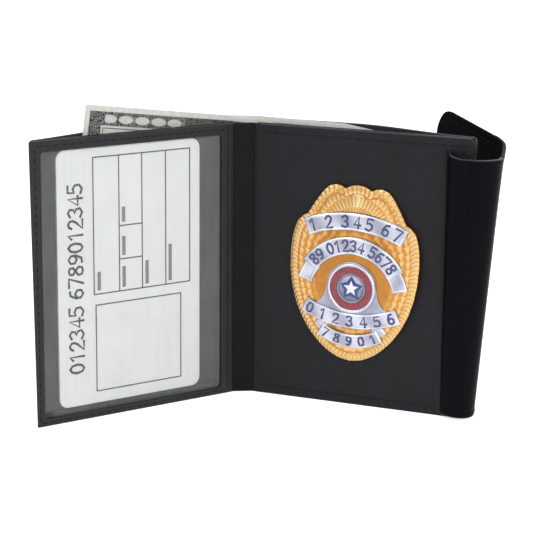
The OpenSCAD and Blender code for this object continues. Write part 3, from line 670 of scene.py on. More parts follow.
def ring_plate(name, inner, outer, back, place, material, edge=0.3):
    """A flat ring with rounded edges, from depth 0 to back, between two loops of matching points."""
    width = np.linalg.norm(outer - inner, axis=1)
    arc = np.linspace(0, np.pi / 2, 5)
    across = edge * np.concatenate([1 - np.sin(arc[::-1]), [0, 0, 0], np.sin(arc) - 1])
    shares = np.concatenate([np.zeros(5), [0.25, 0.5, 0.75], np.ones(5)])
    down = edge * np.concatenate([1 - np.cos(arc[::-1]), [0, 0, 0], 1 - np.cos(arc)])
    across, shares = np.append(across, across[::-1]), np.append(shares, shares[::-1])
    share = shares[:, None] + across[:, None] / width
    u, z = np.moveaxis(inner + (outer - inner) * share[..., None], -1, 0)
    depth = np.append(down, back - down[::-1])[:, None] + 0 * share
    return skin(name, place(u, depth, z), [material], closed=True,
                lay=np.stack([-SPINE_W - NEAR_FOLD - u, depth, z], -1))


# The window frame takes the lit copy of the hide: painted light
settle(ring_plate("id_frame_leather", rounded_loop(*WINDOW, [1.2] * 4),
                  rounded_loop(NEAR_FOLD, LEAF_W, 0, LEAF_H, [0.01, 0.6, 0.6, 0.01]), FACE_T, on_id_sheet,
                  lit_frame_leather), "id_leaf", "face_leather", "id_frame")


def vinyl_front(s, z):
    """The clear sheet bows and waves by a tenth of a millimetre, mostly along its free edges."""
    margin = np.exp(-np.minimum(s - 4, 73 - s) / 9)
    waves = 0.07 * np.sin(s * 1.9 + 0.6 * np.sin(z * 0.09)) * margin
    return 1.26 + waves + 0.04 * np.sin(z * 0.11 + s * 0.05)


settle(thick_sheet("window_vinyl", straight_path(leaf_stations(2.4, 74.7, 150, 1.2), *fold_2, ID_HEADING),
                   -1, 1.3, 92.3, vinyl_front, lambda s, z: vinyl_front(s, z) + 0.14, in_row, [vinyl],
                   rows=50, ease=0.3, edge=0.05), "id_leaf", "clear_vinyl", "id_window")

# Flat layers inside the leaves, up to the free end, whose corners at foot and head are rounded by 1 mm
STRIP_U, INNER_U, END_H = 72.5, 0.15, LEAF_H - 0.6
SLOT, BACKING, POCKET = (SLOT_Y, BACKING_Y), (BACKING_Y, POCKET_Y), (POCKET_Y, SHELL_Y)
for name, node_name, leaf, u0, low, high, (y0, y1), stuff in (
        ("card_slot_foot_strip", "card_slot_foot", "id", INNER_U, 0, 4.4, SLOT, pocket_leather),
        ("card_slot_end_strip", "card_slot_end_side", "id", STRIP_U, 4.4, END_H, SLOT, pocket_leather),
        ("id_backing_cloth", "id_backing", "id", INNER_U, 0, LEAF_H, BACKING, pocket_cloth),
        ("pocket_foot_strip_id", "pocket_foot_id", "id", INNER_U, 0, 4.0, POCKET, pocket_leather),
        ("pocket_end_strip_id", "pocket_end_id", "id", STRIP_U, 4.0, END_H, POCKET, pocket_leather),
        ("badge_lining_cloth", "badge_lining", "badge", INNER_U, 0, LEAF_H, BACKING, pocket_cloth),
        ("pocket_end_strip_badge", "pocket_end_badge", "badge", STRIP_U, 4.0, END_H, POCKET, pocket_leather)):
    run = leaf_stations(u0, LEAF_W, 24, 1.0)
    corner = inset(LEAF_W - run, 1.0)
    made = thick_sheet(name, straight_path(run), 1, low + corner * (low == 0), high - corner * (high > 90),
                       y0, y1, on_id_sheet if leaf == "id" else on_badge_sheet, [stuff], rows=24, edge=0.08)
    settle(made, f"{leaf}_leaf", "lining_leather", node_name)

# Outer shell

# The shell's head stands 1.6 mm over the faces near the spine and comes down to them at the free end
shell_run = leaf_stations(NEAR_FOLD, LEAF_W, 60)
corner = inset(LEAF_W - shell_run, CORNER_R)
for leaf, place, nodes in (("badge", on_badge_sheet, ["shell_spine"]), ("id", on_id_sheet, [])):
    made = thick_sheet(f"shell_{leaf}_leather", straight_path(shell_run), 1, corner,
                       SHELL_H - corner - 1.7 * smooth((shell_run - 35) / 40), SHELL_Y,
                       lambda s, z: SHELL_BACK - sewn_panel(s, z, 0.08, 1), place, [shell_leather], rows=110,
                       ends=(0, 0.35))
    settle(made, f"{leaf}_leaf", "shell_leather", f"shell_{leaf}")
    # The shell turns about the fold line itself
    start, turn, side, _, _ = HALVES[leaf]
    path = with_bend_run(laid_path(*start, [(NEAR_FOLD, 0, 4), (0, turn, 14), (HALF_SPINE, 0, 6)]), SHELL_MID)
    made = thick_sheet(f"shell_fold_{leaf}_leather", path, side, 0, SHELL_H, SHELL_Y,
                       lambda s, z: SHELL_BACK + 0.04 * np.sin(s * 1.7) * np.clip(s * (8 - s) / 8, 0, 1),
                       in_row, [shell_leather])
    across_fold(made, leaf, SHELL_MID, LEAF_H / 2, 1.35, "shell_leather", f"shell_fold_{leaf}", *nodes)

# Closing cover

# Hem and lead: mid-line points on the badge leaf, their heading in degrees and the thickness there
HEM_LINE = np.array([
    [65.30, -0.03, -2, 0.05], [65.9, -0.05, -3, 0.08], [66.6, -0.10, -6, 0.16], [67.3, -0.19, -10, 0.36],
    [67.9, -0.34, -14, 0.66], [68.4, -0.56, -18, 1.0], [68.9, -0.88, -20, 1.20]])
hem_x, hem_y = turned(HEM_LINE[:, 0] - SEAM_X, HEM_LINE[:, 1] - SEAM_Y, -LEAD_TURN)
lead_x = np.append(hem_x, np.linspace(0.1, NEAR_FOLD, 20))
lead_path = (lead_x, np.append(hem_y, np.zeros(20)),
             np.append(np.radians(HEM_LINE[:, 2]) - LEAD_TURN, np.zeros(20)), lead_x + HEM_W + 2)
half_thick = np.append(HEM_LINE[:, 3], np.full(20, COVER_T)) / 2


def along_lead(s, z):
    """Half the thickness of hem and lead, read between the points of HEM_LINE."""
    return np.interp(s, lead_path[3], half_thick)


def highlight_cover_edges(s, z):
    """The cover's turned edges at foot and head, worn by rubbing and painted lighter: painted highlight."""
    return (z < 0.35) | (z > COVER_H - 0.35)


# The hem's edges at foot and head take the lighter edge material: painted highlight
settle(thick_sheet("cover_hem_leather", lead_path, 1, 0, COVER_H, lambda s, z: -along_lead(s, z), along_lead,
                   on_lead, [cover_leather, edge_stain_and_highlight, face_leather], rows=70, ease=0.5,
                   marks=lambda s, z: np.where(s < HEM_W + 1.7, 2, highlight_cover_edges(s, z))),
       "badge_leaf", "cover_leather", "cover_hem")


def cover_side(s, z):
    """Half the cover's thickness, swelling by 0.2 mm where its edges are turned at foot and head."""
    return COVER_T / 2 + 0.2 * np.exp(-((np.minimum(z, COVER_H - z) - 1.0) / 0.8) ** 2)


def lined_side(s, z):
    """The cover's lined side, its other side mirrored over the middle."""
    return -cover_side(s, z)


def roll_faces(highlighted_edges):
    """Slot 0 on the cover's lined side, 2 on its brushed side, and 1 on the edges at foot and head, worn by
    rubbing and painted lighter as a highlight, when its flag is set.
    """
    def marks(s, z):
        brushed = np.where(np.arange(z.shape[1]) < z.shape[1] // 2, 0, 2) + 0 * z
        return np.where(highlight_cover_edges(s, z), 1, brushed) if highlighted_edges else brushed
    return marks


tangents = [r * math.tan(b / 2) for r, b in zip(ROLL_RADII, ROLL_BENDS)]
before = [NEAR_FOLD - tangents[0]]
before += [(w - a - b) / 2 for w, a, b in zip(STRETCHES, tangents, tangents[1:])]
after = before[1:] + [FLAP_START - tangents[-1]]
roll_bodies = ["badge_leaf"] + [f"cover_strip_{k}" for k in range(1, 6)] + ["cover_flap"]
here, ahead, gone = (-NEAR_FOLD, 0.0), 0.0, 0.0
# The first three rolls, the lip in front, take the lighter edge material at foot and head: painted highlight
for k, bend in enumerate(ROLL_BENDS):
    path = laid_path(*here, ahead, [(before[k], 0, 3), (ROLL_RADII[k] * bend, bend, 14), (after[k], 0, 3)])
    made = thick_sheet(f"cover_roll_{k + 1}", path, 1, 0, COVER_H, lined_side, cover_side, on_roll,
                       [cover_leather, edge_stain_and_highlight, matt_hide], rows=80, marks=roll_faces(k < 3),
                       lay=lambda s, y, z: np.stack([s + gone, y, z], -1))
    bent(made, roll_bodies[k:k + 2], *(on_roll(path[0][i], path[1][i], COVER_H / 2) for i in (0, -1)), 0.3,
         "cover_leather", *[f"cover_strip_{k + 1}"] * (k < 5))
    here, ahead, gone = (path[0][-1], path[1][-1]), path[2][-1], gone + path[3][-1]

FLAP_LONG = FLAP_W - FLAP_START
FACING_Y = -0.096
flap_run = leaf_stations(0, FLAP_LONG, 56, FLAP_R)
flap_path = straight_path(flap_run, *here, ahead)


def flap_outside(s, z):
    """The flap's leather, sewn to its facing 2.6 mm inside its edges, also round its corners, a little domed
    between."""
    a, b = np.minimum(z, COVER_H - z), FLAP_LONG - s
    edge_off = np.where((a < FLAP_R) & (b < FLAP_R), FLAP_R - np.hypot(FLAP_R - a, FLAP_R - b),
                        np.minimum(a, b))
    calm = part_way(edge_off, 0, 8) * part_way(s, 0, 8)
    return (cover_side(s, z) - groove(edge_off - FLAP_SEAM_IN, 0.12) * smooth(s / 3)
            - unevenness(s, z, 0.05) * calm)


def on_flap(x, y, z):
    """x along the flap from its first station, y its depth, z its height."""
    along, across = turned(x, y, ahead)
    return on_roll(here[0] + along, here[1] + across, z)


for name, node_name, shy, front, back, hide, rows, edge in (
        ("cover_flap_leather", "cover_flap", 0.0, FACING_Y, flap_outside, matt_hide, 100, 0.25),
        ("cover_flap_facing_hide", "cover_flap_facing", 0.15, lined_side, FACING_Y, cover_leather, 80, 0.2)):
    corner = inset(FLAP_LONG - flap_run, FLAP_R) + shy
    made = thick_sheet(name, flap_path, 1, corner, COVER_H - corner, front, back, on_roll, [hide], rows=rows,
                       ends=(0, edge), edge=edge)
    settle(made, "cover_flap", "cover_leather", node_name)

# Stitching


def seam(place, low, high, far, depth, end_depth=None, near=3.2, **spacing):
    """Rows of stitches along foot and head from near to far, and one up the far end."""
    rows = [((near, z), (far, z), depth) for z in (low, high)]
    rows.append(((far, low), (far, high), depth if end_depth is None else end_depth))
    return [stitch_line(place, *row, **spacing) for row in rows]


LEAF_SEAM = (SEAM_IN, LEAF_H - SEAM_IN, LEAF_W - SEAM_IN)
ID_SEAM = (1.25, LEAF_H - 1.8, LEAF_W - 1.8)
id_rows = (seam(on_id_leaf, *ID_SEAM, -0.02, near=3, long=1.9)[:2]
           + seam(on_id_sheet, *ID_SEAM, -0.02, long=1.9)[2:]
           + seam(on_id_sheet, *LEAF_SEAM, SHELL_BACK - 0.05))
badge_rows = seam(on_badge_sheet, *LEAF_SEAM, 0.05, 0.0) + seam(on_badge_sheet, *LEAF_SEAM, SHELL_BACK - 0.05)
flap_y, far = COVER_T / 2 - 0.05, FLAP_LONG - FLAP_SEAM_IN
flap_rows = [stitch_line(on_flap, a, b, flap_y) for a, b in
             [((1, z), (FLAP_LONG - FLAP_R, z)) for z in (FLAP_SEAM_IN, COVER_H - FLAP_SEAM_IN)]
             + [((far, FLAP_R), (far, COVER_H - FLAP_R))]]
for centre_z, first in ((FLAP_R, -math.pi / 2), (COVER_H - FLAP_R, 0.0)):
    a = first + np.arange(4) * math.pi / 8 + 0.06
    flap_rows.append([on_flap(FLAP_LONG - FLAP_R + (FLAP_R - FLAP_SEAM_IN) * np.cos(b), flap_y + 0 * b,
                              centre_z + (FLAP_R - FLAP_SEAM_IN) * np.sin(b)) for b in (a, a + 0.27)])
for body, rows, used in (("badge_leaf", badge_rows, thread), ("id_leaf", id_rows, thread),
                         ("cover_flap", flap_rows, dull_thread)):
    starts, ends = (np.concatenate([row[i] for row in rows]) for i in (0, 1))
    settle(capsules(f"{body}_stitches", starts, ends, 0.21, used), body)

# Numerals and printing

# Strokes of plain numerals, in shares of their height
DIGITS = {
    "0": [(0.28, 1), (0.08, 0.85), (0, 0.5), (0.08, 0.15), (0.28, 0), (0.48, 0.15), (0.56, 0.5), (0.48, 0.85),
          (0.28, 1)],
    "1": [(0.1, 0.78), (0.32, 1), (0.32, 0)],
    "2": [(0.03, 0.78), (0.14, 0.95), (0.3, 1), (0.48, 0.9), (0.52, 0.7), (0.4, 0.45), (0, 0), (0.56, 0)],
    "3": [(0.03, 0.86), (0.28, 1), (0.5, 0.86), (0.46, 0.6), (0.24, 0.53), (0.5, 0.42), (0.54, 0.16),
          (0.28, 0), (0, 0.14)],
    "4": [(0.42, 0), (0.42, 1), (0, 0.3), (0.58, 0.3)],
    "5": [(0.5, 1), (0.08, 1), (0.04, 0.56), (0.28, 0.64), (0.52, 0.5), (0.54, 0.2), (0.3, 0), (0, 0.1)],
    "6": [(0.46, 0.94), (0.2, 0.9), (0.02, 0.5), (0.04, 0.16), (0.28, 0), (0.52, 0.14), (0.52, 0.44),
          (0.28, 0.58), (0.04, 0.42)],
    "7": [(0, 1), (0.56, 1), (0.2, 0)],
    "8": [(0.28, 0.54), (0.06, 0.7), (0.08, 0.92), (0.28, 1), (0.48, 0.92), (0.5, 0.7), (0.28, 0.54),
          (0.02, 0.32), (0.06, 0.08), (0.28, 0), (0.5, 0.08), (0.54, 0.32), (0.28, 0.54)],
    "9": [(0.52, 0.58), (0.28, 0.42), (0.04, 0.56), (0.04, 0.86), (0.28, 1), (0.52, 0.84), (0.54, 0.5),
          (0.36, 0.1), (0.1, 0.06)],
}
DIGIT_W, SPACE_W = 0.56, 0.4


def stroke(points, width, low, high, place):
    """A flat stroke along a polyline; its sides are offset across the mean of the two directions."""
    p = np.array(points, float)
    along = np.diff(p, axis=0)
    along /= np.linalg.norm(along, axis=1, keepdims=True)
    mean = np.concatenate([along[:1], along[1:] + along[:-1], along[-1:]])
    mean /= np.maximum(np.linalg.norm(mean, axis=1, keepdims=True), 1e-6)
    across = np.stack([-mean[:, 1], mean[:, 0]], -1) * width / 2
    p[0], p[-1] = p[0] - along[0] * width * 0.4, p[-1] + along[-1] * width * 0.4
    left, right, n = p + across, p - across, len(p)
    rings = np.stack([place(q[:, 0], np.full(n, h), q[:, 1])
                      for q, h in ((left, low), (left, high), (right, high), (right, low))], 1)
    caps = np.array([[3, 2, 1, 0], [4 * n - 4, 4 * n - 3, 4 * n - 2, 4 * n - 1]])
    return rings, np.concatenate([ring_quads(n, 4), caps])


def numerals(text, x, z, tall, gap, width, low, high, place):
    """A row of plain numerals from x, each drawn by one stroke."""
    parts = []
    for letter in text:
        if letter in DIGITS:
            parts.append(stroke(np.array(DIGITS[letter]) * tall + [x, z], width, low, high, place))
        x += tall * DIGIT_W + gap if letter != " " else tall * SPACE_W
    return parts


CARD_Y, INK_T = 1.57, 0.02


def on_card(x, y, z):
    """x up the card, z towards the free end: the print is read with the wallet turned on its side."""
    return on_id_leaf(np.asarray(z), CARD_Y - y, np.asarray(x))


def card_lines(points, width=0.42):
    """Printed rules between neighbouring points given as (distance from the fold line, height)."""
    return [stroke([a[::-1], b[::-1]], width, 0.0, INK_T, on_card) for a, b in zip(points, points[1:])]


def card_box(ua, ub, za, zb):
    """A printed rectangle between two distances from the fold line and two heights."""
    return card_lines([(ua, za), (ub, za), (ub, zb), (ua, zb), (ua, za)])


rules = card_box(16.5, 53.3, 41.5, 87.0) + card_box(20.1, 52.7, 8.5, 37.8)
for u in (43.7, 35.0, 25.9):
    rules += card_lines([(u, 41.5), (u, 87.0)])
for z in (63.5, 52.3):
    rules += card_lines([(35.0, z), (43.7, z)])
labels = []
for u, z, long in ((51.4, 43.2, 5.2), (42.0, 43.2, 6.0), (42.0, 54.0, 5.4), (42.0, 65.2, 4.0),
                   (33.2, 43.2, 7.0), (24.2, 43.2, 11.5)):
    labels += card_lines([(u, z), (u, z + long)], 1.3)
heading = numerals("012345 6789012345", 15.8, 57.4, 5.2, 0.95, 0.85, 0.0, INK_T, on_card)
for name, parts, ink in (("print", heading, card_ink), ("rules", rules, card_ink),
                         ("labels", labels, pale_ink)):
    settle(merged(f"card_{name}", parts, [ink]), "id_card", "printed_card")

# Banknotes


def note_half(name, corner_s, corner_z, lean, depth, towards_id, turn_s=None):
    """Half a note, from the middle of the spine to its end on one leaf. In the flat, its upper and lower
    edges fall away from the corner as z = z0 - (s0 - s) tan(lean); past turn_s its head bends down by 8.5
    degrees."""
    bend_run = depth * FOLD
    sine, cosine, slope = math.sin(lean), math.cos(lean), math.tan(lean)
    if towards_id:
        far, tip, go, turn, side = corner_s + NOTE_H * sine, NOTE_H * sine, math.pi + FOLD, FOLD, -1
    else:
        far, tip = -2 * bend_run - SPINE_W - (corner_s - NOTE_L * cosine), NOTE_H * sine
        go, turn, side = FOLD, -FOLD, 1
    parts = [(HALF_SPINE, 0, 6), (0, turn, 12), (far - tip, 0, 40), (tip * 0.999, 0, 24)]
    x, y, heading, away = with_bend_run(laid_path(*turned(-HALF_SPINE, 0, FOLD), go, parts), depth)
    s = (away if towards_id else -away) - HALF_SPINE - bend_run
    head = corner_z - (corner_s - s) * slope
    end_edge = corner_z - (s - corner_s) / slope
    far_edge = end_edge - NOTE_L * sine - NOTE_L * cosine / slope
    high, low = np.minimum(head, end_edge), np.maximum(head - NOTE_H / cosine, far_edge)
    if turn_s is not None:
        turn_z = corner_z - (corner_s - turn_s) * slope
        high = np.where(s < turn_s, np.minimum(high, turn_z - (turn_s - s) * math.tan(math.radians(8.5))),
                        high)

    def lay(s, y, z):
        ds, dz = s - corner_s, z - corner_z
        return np.stack([-(ds * cosine + dz * sine), y, ds * sine - dz * cosine], -1)

    def wavy(s, z):
        return depth + 0.10 * np.sin(s * 0.16 + 1.2) * part_way(z, 88, 98) - NOTE_T / 2

    return thick_sheet(name, (x, y, heading, s), side, np.minimum(low, high - 0.02), high, wavy,
                       lambda s, z: wavy(s, z) + NOTE_T, in_row, [note_paper], rows=40, ease=0.2, edge=0.03,
                       lay=lay)


for name, s0, head, lean, depth, turn_s in (("front", 54.6, 104.1, 7.9, 3.2, None),
                                            ("rear", 50.0, 97.4, 1.1, 3.5, -SPINE_W - 2 * 3.5 * FOLD - 31)):
    for leaf, bend_at, nodes in (("id", None, [f"banknote_{name}"]), ("badge", turn_s, [])):
        made = note_half(f"note_{name}_{leaf}_side", s0, head, math.radians(lean), depth, leaf == "id",
                         bend_at)
        across_fold(made, leaf, depth, 60, 0.9, "note_paper", *nodes)

# Badge

# Right half of the badge's edge and of its crest, in shares of half the width and height
OUTLINE = np.array([
    (0, 1), (0.1, 0.99), (0.17, 0.965), (0.21, 0.95), (0.27, 0.975), (0.36, 0.985), (0.46, 0.96), (0.54, 0.9),
    (0.62, 0.81), (0.71, 0.7), (0.77, 0.62), (0.83, 0.6), (0.92, 0.53), (0.97, 0.42), (1, 0.26), (1, 0.08),
    (0.975, -0.12), (0.92, -0.3), (0.83, -0.48), (0.71, -0.64), (0.56, -0.78), (0.38, -0.9), (0.19, -0.975),
    (0, -1)])
CREST_FOOT = np.array([(0, 0.775), (0.18, 0.768), (0.36, 0.75), (0.52, 0.72), (0.67, 0.69)])
CREST_HEAD = np.array([(0, 1), (0.09, 0.985), (0.15, 0.94), (0.2, 0.925), (0.27, 0.95), (0.36, 0.96),
                       (0.45, 0.935), (0.53, 0.87), (0.6, 0.78), (0.67, 0.69)])
INNER_W, INNER_H = BADGE_W - 2 * BORDER_W, BADGE_H - 2 * BORDER_W
BORDER_LEAVES, FEATHER_ROWS = 112, 9


def outline_at(angle, w, h):
    """The badge's edge at an angle, read off its mirrored outline in polar form."""
    right = OUTLINE * [w / 2, h / 2]
    loop = np.concatenate([right, (right * [-1, 1])[::-1][1:-1]])
    around = np.unwrap(np.arctan2(loop[:, 1], loop[:, 0]))
    order = np.argsort(around)
    return np.interp(angle, around[order], np.hypot(*loop.T)[order], period=2 * np.pi)


def leaflet(along, across):
    """A pointed leaf in a unit cell, its tip at along = 1: 1 - (across / (1.05 - 0.8 along))^2."""
    return np.clip(1 - (across / (1.05 - 0.8 * along)) ** 2, 0, 1) * (1 - 0.35 * along)


def feathers(x, z):
    """Ground of the badge: rows of small feathers down its flanks, and fine rays round the seal."""
    out = np.hypot(x, z) / outline_at(np.arctan2(z, x), INNER_W, INNER_H) * FEATHER_ROWS
    row = np.floor(out)
    down = np.abs(np.arctan2(x, z)) * 25 * (row + 0.5) / FEATHER_ROWS
    flank = 0.35 + 0.6 * leaflet((down / 2.9 + row * 0.5) % 1, (out % 1) * 2 - 1)
    rays = 0.42 + 0.12 * np.cos(84 * np.arctan2(x, z - SEAL_Z))
    near = smooth((np.hypot(x, z - SEAL_Z) - 11) / 5)
    return rays * (1 - near) + flank * near


def wing(x, z):
    """Two wings spread from a boss in the middle: tiers of feathers that fan out from a point below it."""
    reach, fan = np.hypot(np.abs(x) + 1, z - 12.5), np.arctan2(np.abs(x) + 1, z - 12.5)
    row = np.floor(reach / 3.6)
    feather = leaflet(reach / 3.6 - row, ((fan * 10 + row * 0.5) % 1) * 2 - 1)
    boss = np.exp(-((x / 1.6) ** 2 + ((z - 25.4) / 2.4) ** 2))
    return np.clip(0.42 + 0.4 * feather + 0.5 * boss, 0, 1.2)


angle = np.linspace(-np.pi, np.pi, 541)[:-1]
inner_r, outer_r = outline_at(angle, INNER_W, INNER_H), outline_at(angle, BADGE_W, BADGE_H)
rings, heights = [], []


def plate_ring(radius, height, raised=0.0):
    """One loop of the plate; height is a function of (x, z), raised the feathers' relief in mm."""
    x, z = radius * np.cos(angle), radius * np.sin(angle)
    texture = feathers(x, z) if raised else 0 * x
    rings.append(on_badge(x, height(x, z) + raised * texture, z))
    # Towards the middle, among the ribbons and round the seal, the height is scaled down to 0.55, so the
    # ground takes browner colours: painted shade between the raised ribbons
    heights.append(0.1 + texture * (0.55 + 0.45 * smooth((radius / inner_r - 0.62) / 0.25)))


for f in np.linspace(0.03, 1, 120):
    plate_ring(inner_r * f, dome, 0.14)
for f, down in ((0.3, 0.0), (0.8, 0.0), (0.93, 0.05), (1.0, 0.2)):
    plate_ring(inner_r + (outer_r - inner_r) * f, lambda x, z: dome(x, z) - down)
for radius, height in ((outer_r, 0.25), (outer_r - 0.06, 0.06), (outer_r - 0.3, 0.0), (inner_r * 0.03, 0.0)):
    plate_ring(radius, lambda x, z: height + 0 * x)
settle(skin("badge_plate_struck", rings, [gold], height=np.concatenate(heights), sharp=50),
       "badge_leaf", "gilt_metal", "badge_plate")

# Raised border: leaves counted along the edge's own length, wings where it passes the crest
angle = np.linspace(-np.pi, np.pi, 1401)[:-1]
inner_r, outer_r = outline_at(angle, INNER_W, INNER_H), outline_at(angle, BADGE_W, BADGE_H)
edge_x, edge_z = outer_r * np.cos(angle), outer_r * np.sin(angle)
round_edge = np.cumsum(np.hypot(np.diff(edge_x, append=edge_x[0]), np.diff(edge_z, append=edge_z[0])))
round_edge *= BORDER_LEAVES / round_edge[-1]
rings, heights = [], []
for f in np.concatenate([[0.0, 0.0], np.linspace(0.03, 0.97, 11), [1.0, 1.0]]):
    radius = inner_r + (outer_r - inner_r) * f
    x, z = radius * np.cos(angle), radius * np.sin(angle)
    leaf = (round_edge * np.sign(-x) - 0.9 * abs(f - 0.5)) % 1
    blade = np.clip(1 - (np.abs(leaf - 0.45) * 2) ** 2, 0, 1)
    crown = np.sin(np.pi * np.clip(f, 0.06, 0.94)) ** 0.5
    high_up = smooth((z - 17) / 2.5)
    relief = crown * (0.34 + 0.2 * blade) * (1 - high_up) + (0.2 + 0.5 * wing(x, z)) * crown ** 0.5 * high_up
    rings.append(on_badge(x, dome(x, z) + (-0.25 if len(rings) in (0, 14) else 0.02 + relief), z))
    heights.append((0.4 + 0.35 * blade) * (1 - high_up) + wing(x, z) * high_up)
settle(skin("badge_border_leaves", rings, [pale_gold], closed=True, height=np.concatenate(heights), sharp=60),
       "badge_leaf", "gilt_metal", "badge_border")

crest_half = np.array([INNER_W - 0.3, INNER_H - 0.3]) / 2
crest_x = np.linspace(-0.66, 0.66, 181) * crest_half[0]
crest_low, crest_high = (np.interp(np.abs(crest_x), *(edge * crest_half).T)
                         for edge in (CREST_FOOT, CREST_HEAD))
settle(thick_sheet("badge_crest_wings", straight_path(crest_x), 1, crest_low,
                   np.maximum(crest_high, crest_low + 0.3),
                   lambda s, z: -dome(s, z) - 0.12 - 0.5 * wing(s, z), lambda s, z: -dome(s, z) + 0.25,
                   into_badge, [pale_gold], rows=48, ease=0.4, edge=0.22, height=wing, sharp=60),
       "badge_leaf", "gilt_metal", "badge_crest")


def bow(z_share, span_share, drop_share, up):
    """Radius, centre height, half angle and side of a bowed ribbon, from its height, half span and drop."""
    half_span, drop = span_share * BADGE_W / 2, drop_share * BADGE_H
    r = (half_span ** 2 + drop ** 2) / (2 * drop)
    return r, z_share * BADGE_H / 2 - up * r, math.asin(half_span / r), up


def on_ribbon(r, centre, up):
    """x along the ribbon at its mean radius, y the height over the dome, z across the ribbon."""
    def place(x, y, z):
        flat_x, flat_z = (r + up * z) * np.sin(x / r), centre + up * (r + up * z) * np.cos(x / r)
        return on_badge(flat_x, dome(flat_x, flat_z) + y, flat_z)
    return place


def ribbon(name, r, centre, up, a0, a1, wide, top, *nodes):
    """A struck ribbon between two angles: a band with raised rims, its sides down to the dome."""
    run = r * np.linspace(a0, a1, 60)
    place = on_ribbon(r, centre, up)

    def rim_height(s, z):
        rims = np.exp(-((np.abs(z) - wide / 2 + 0.45) / 0.22) ** 2)
        return np.maximum(rims, np.exp(-((np.minimum(s - run[0], run[-1] - s) - 0.45) / 0.22) ** 2))

    def front(s, z):
        return -(top - 0.16 + 0.16 * rim_height(s, z) + 0.05 * np.sin(s * 0.8 + z * 0.3))

    # Its height attribute: rims brighter as struck ridges, and slow brighter and darker patches along the
    # band, painted reflections
    made = thick_sheet(name, straight_path(run), 1, -wide / 2, wide / 2, front, 0.3,
                       lambda x, y, z: place(x, -y, z), [silver], rows=30, ease=0.5, edge=0.16,
                       ends=(0.15, 0.15),
                       height=lambda s, z: 0.5 + 0.3 * rim_height(s, z) + 0.16 * np.sin(s * 0.55 + 0.4 * z))
    settle(made, "badge_leaf", "silvered_metal", *nodes)
    return place


# Each ribbon: its bow, width, numerals and their height
RIBBONS = {
    "top": (bow(0.6, 0.77, 0.06, 1), 5.8, "1 2 345 67", 3.9),
    "arch": ((18.08, -0.265 * BADGE_H / 2, math.radians(57), 1), 5.8, "89 01234 5678", 3.6),
    "lower": (bow(-0.525, 0.74, 0.062, -1), 5.2, "0123456", 3.6),
    "foot": (bow(-0.76, 0.47, 0.05, -1), 4.6, "78901", 3.2),
}
for name, ((r, centre, half, up), wide, text, tall) in RIBBONS.items():
    place = ribbon(f"ribbon_{name}_band", r, centre, up, -half, half, wide, 1.2, f"ribbon_{name}")
    usable = 2 * r * half - 3.0
    spaces = text.count(" ")
    count = len(text) - spaces
    gap = (usable - tall * (DIGIT_W * count + SPACE_W * spaces)) / (count - 1)
    parts = numerals(text, -usable / 2, -tall / 2, tall, gap, 0.78, 0.9, 1.14, place)
    settle(merged(f"ribbon_{name}_numerals", parts, [ink_enamel]), "badge_leaf", "blue_enamel")

# The ends of two ribbons, folded behind them and standing out beyond them
for name, less, wide, angles in (("arch", 0.6, 5.2, lambda half: (half - 0.1, half + 0.33)),
                                 ("foot", 1.5, 3.6, lambda half: (half * 0.86, half * 1.24))):
    r, centre, half, up = RIBBONS[name][0]
    for sign, side_name in ((-1, "left"), (1, "right")):
        ribbon(f"ribbon_tail_{name}_{side_name}", r - less, centre, up,
               *sorted(sign * a for a in angles(half)), wide, 0.8)

# Bell-shaped silver ground that carries the seal down to the lower ribbon
BELL_EDGE = ([8.2, 8.9, 9.6, 10.8, 12.4], [-0.8, -4.5, -7.6, -9.8, -10.8])
bell_x = np.linspace(-12.4, 12.4, 101)
bell_high = np.where(np.abs(bell_x) < 8.2, SEAL_Z + np.sqrt(np.maximum(9.0 ** 2 - bell_x ** 2, 0)),
                     np.interp(np.abs(bell_x), *BELL_EDGE))
settle(thick_sheet("seal_bell_ground", straight_path(bell_x), 1, -13.6 + 0.012 * bell_x ** 2, bell_high,
                   lambda s, z: -dome(s, z) - 0.5, lambda s, z: -dome(s, z) + 0.1, into_badge, [silver],
                   rows=30, edge=0.2, ends=(0.2, 0.2),
                   height=lambda s, z: 0.35 + 0.1 * np.cos(s * 0.5) + 0 * z),
       "badge_leaf", "silvered_metal")

# Seal


def on_seal(r, h, angle):
    """Radius and angle round the seal's centre, h the height over its foot."""
    return on_badge(r * np.cos(angle), SEAL_FOOT + h, SEAL_Z + r * np.sin(angle))


def turned_piece(name, profile, material, around=160, flutes=0, depth=0.0, level=0.6, tube=True):
    """A profile of (radius, height, share of the flutes) carried round the seal's centre, closed on itself
    or by end discs; flutes add a cosine wave of some depth to the height."""
    a = np.linspace(0, 2 * np.pi, around + 1)[:-1]
    lifts = [wave * (0.5 + 0.5 * np.cos(flutes * a)) for _, _, wave in profile]
    rings = [on_seal(r, h + depth * lift, a) for (r, h, _), lift in zip(profile, lifts)]
    levels = [level + (lift - 0.5) * 0.5 * wave for (_, _, wave), lift in zip(profile, lifts)]
    return skin(name, rings, [material], closed=tube, height=np.concatenate(levels))


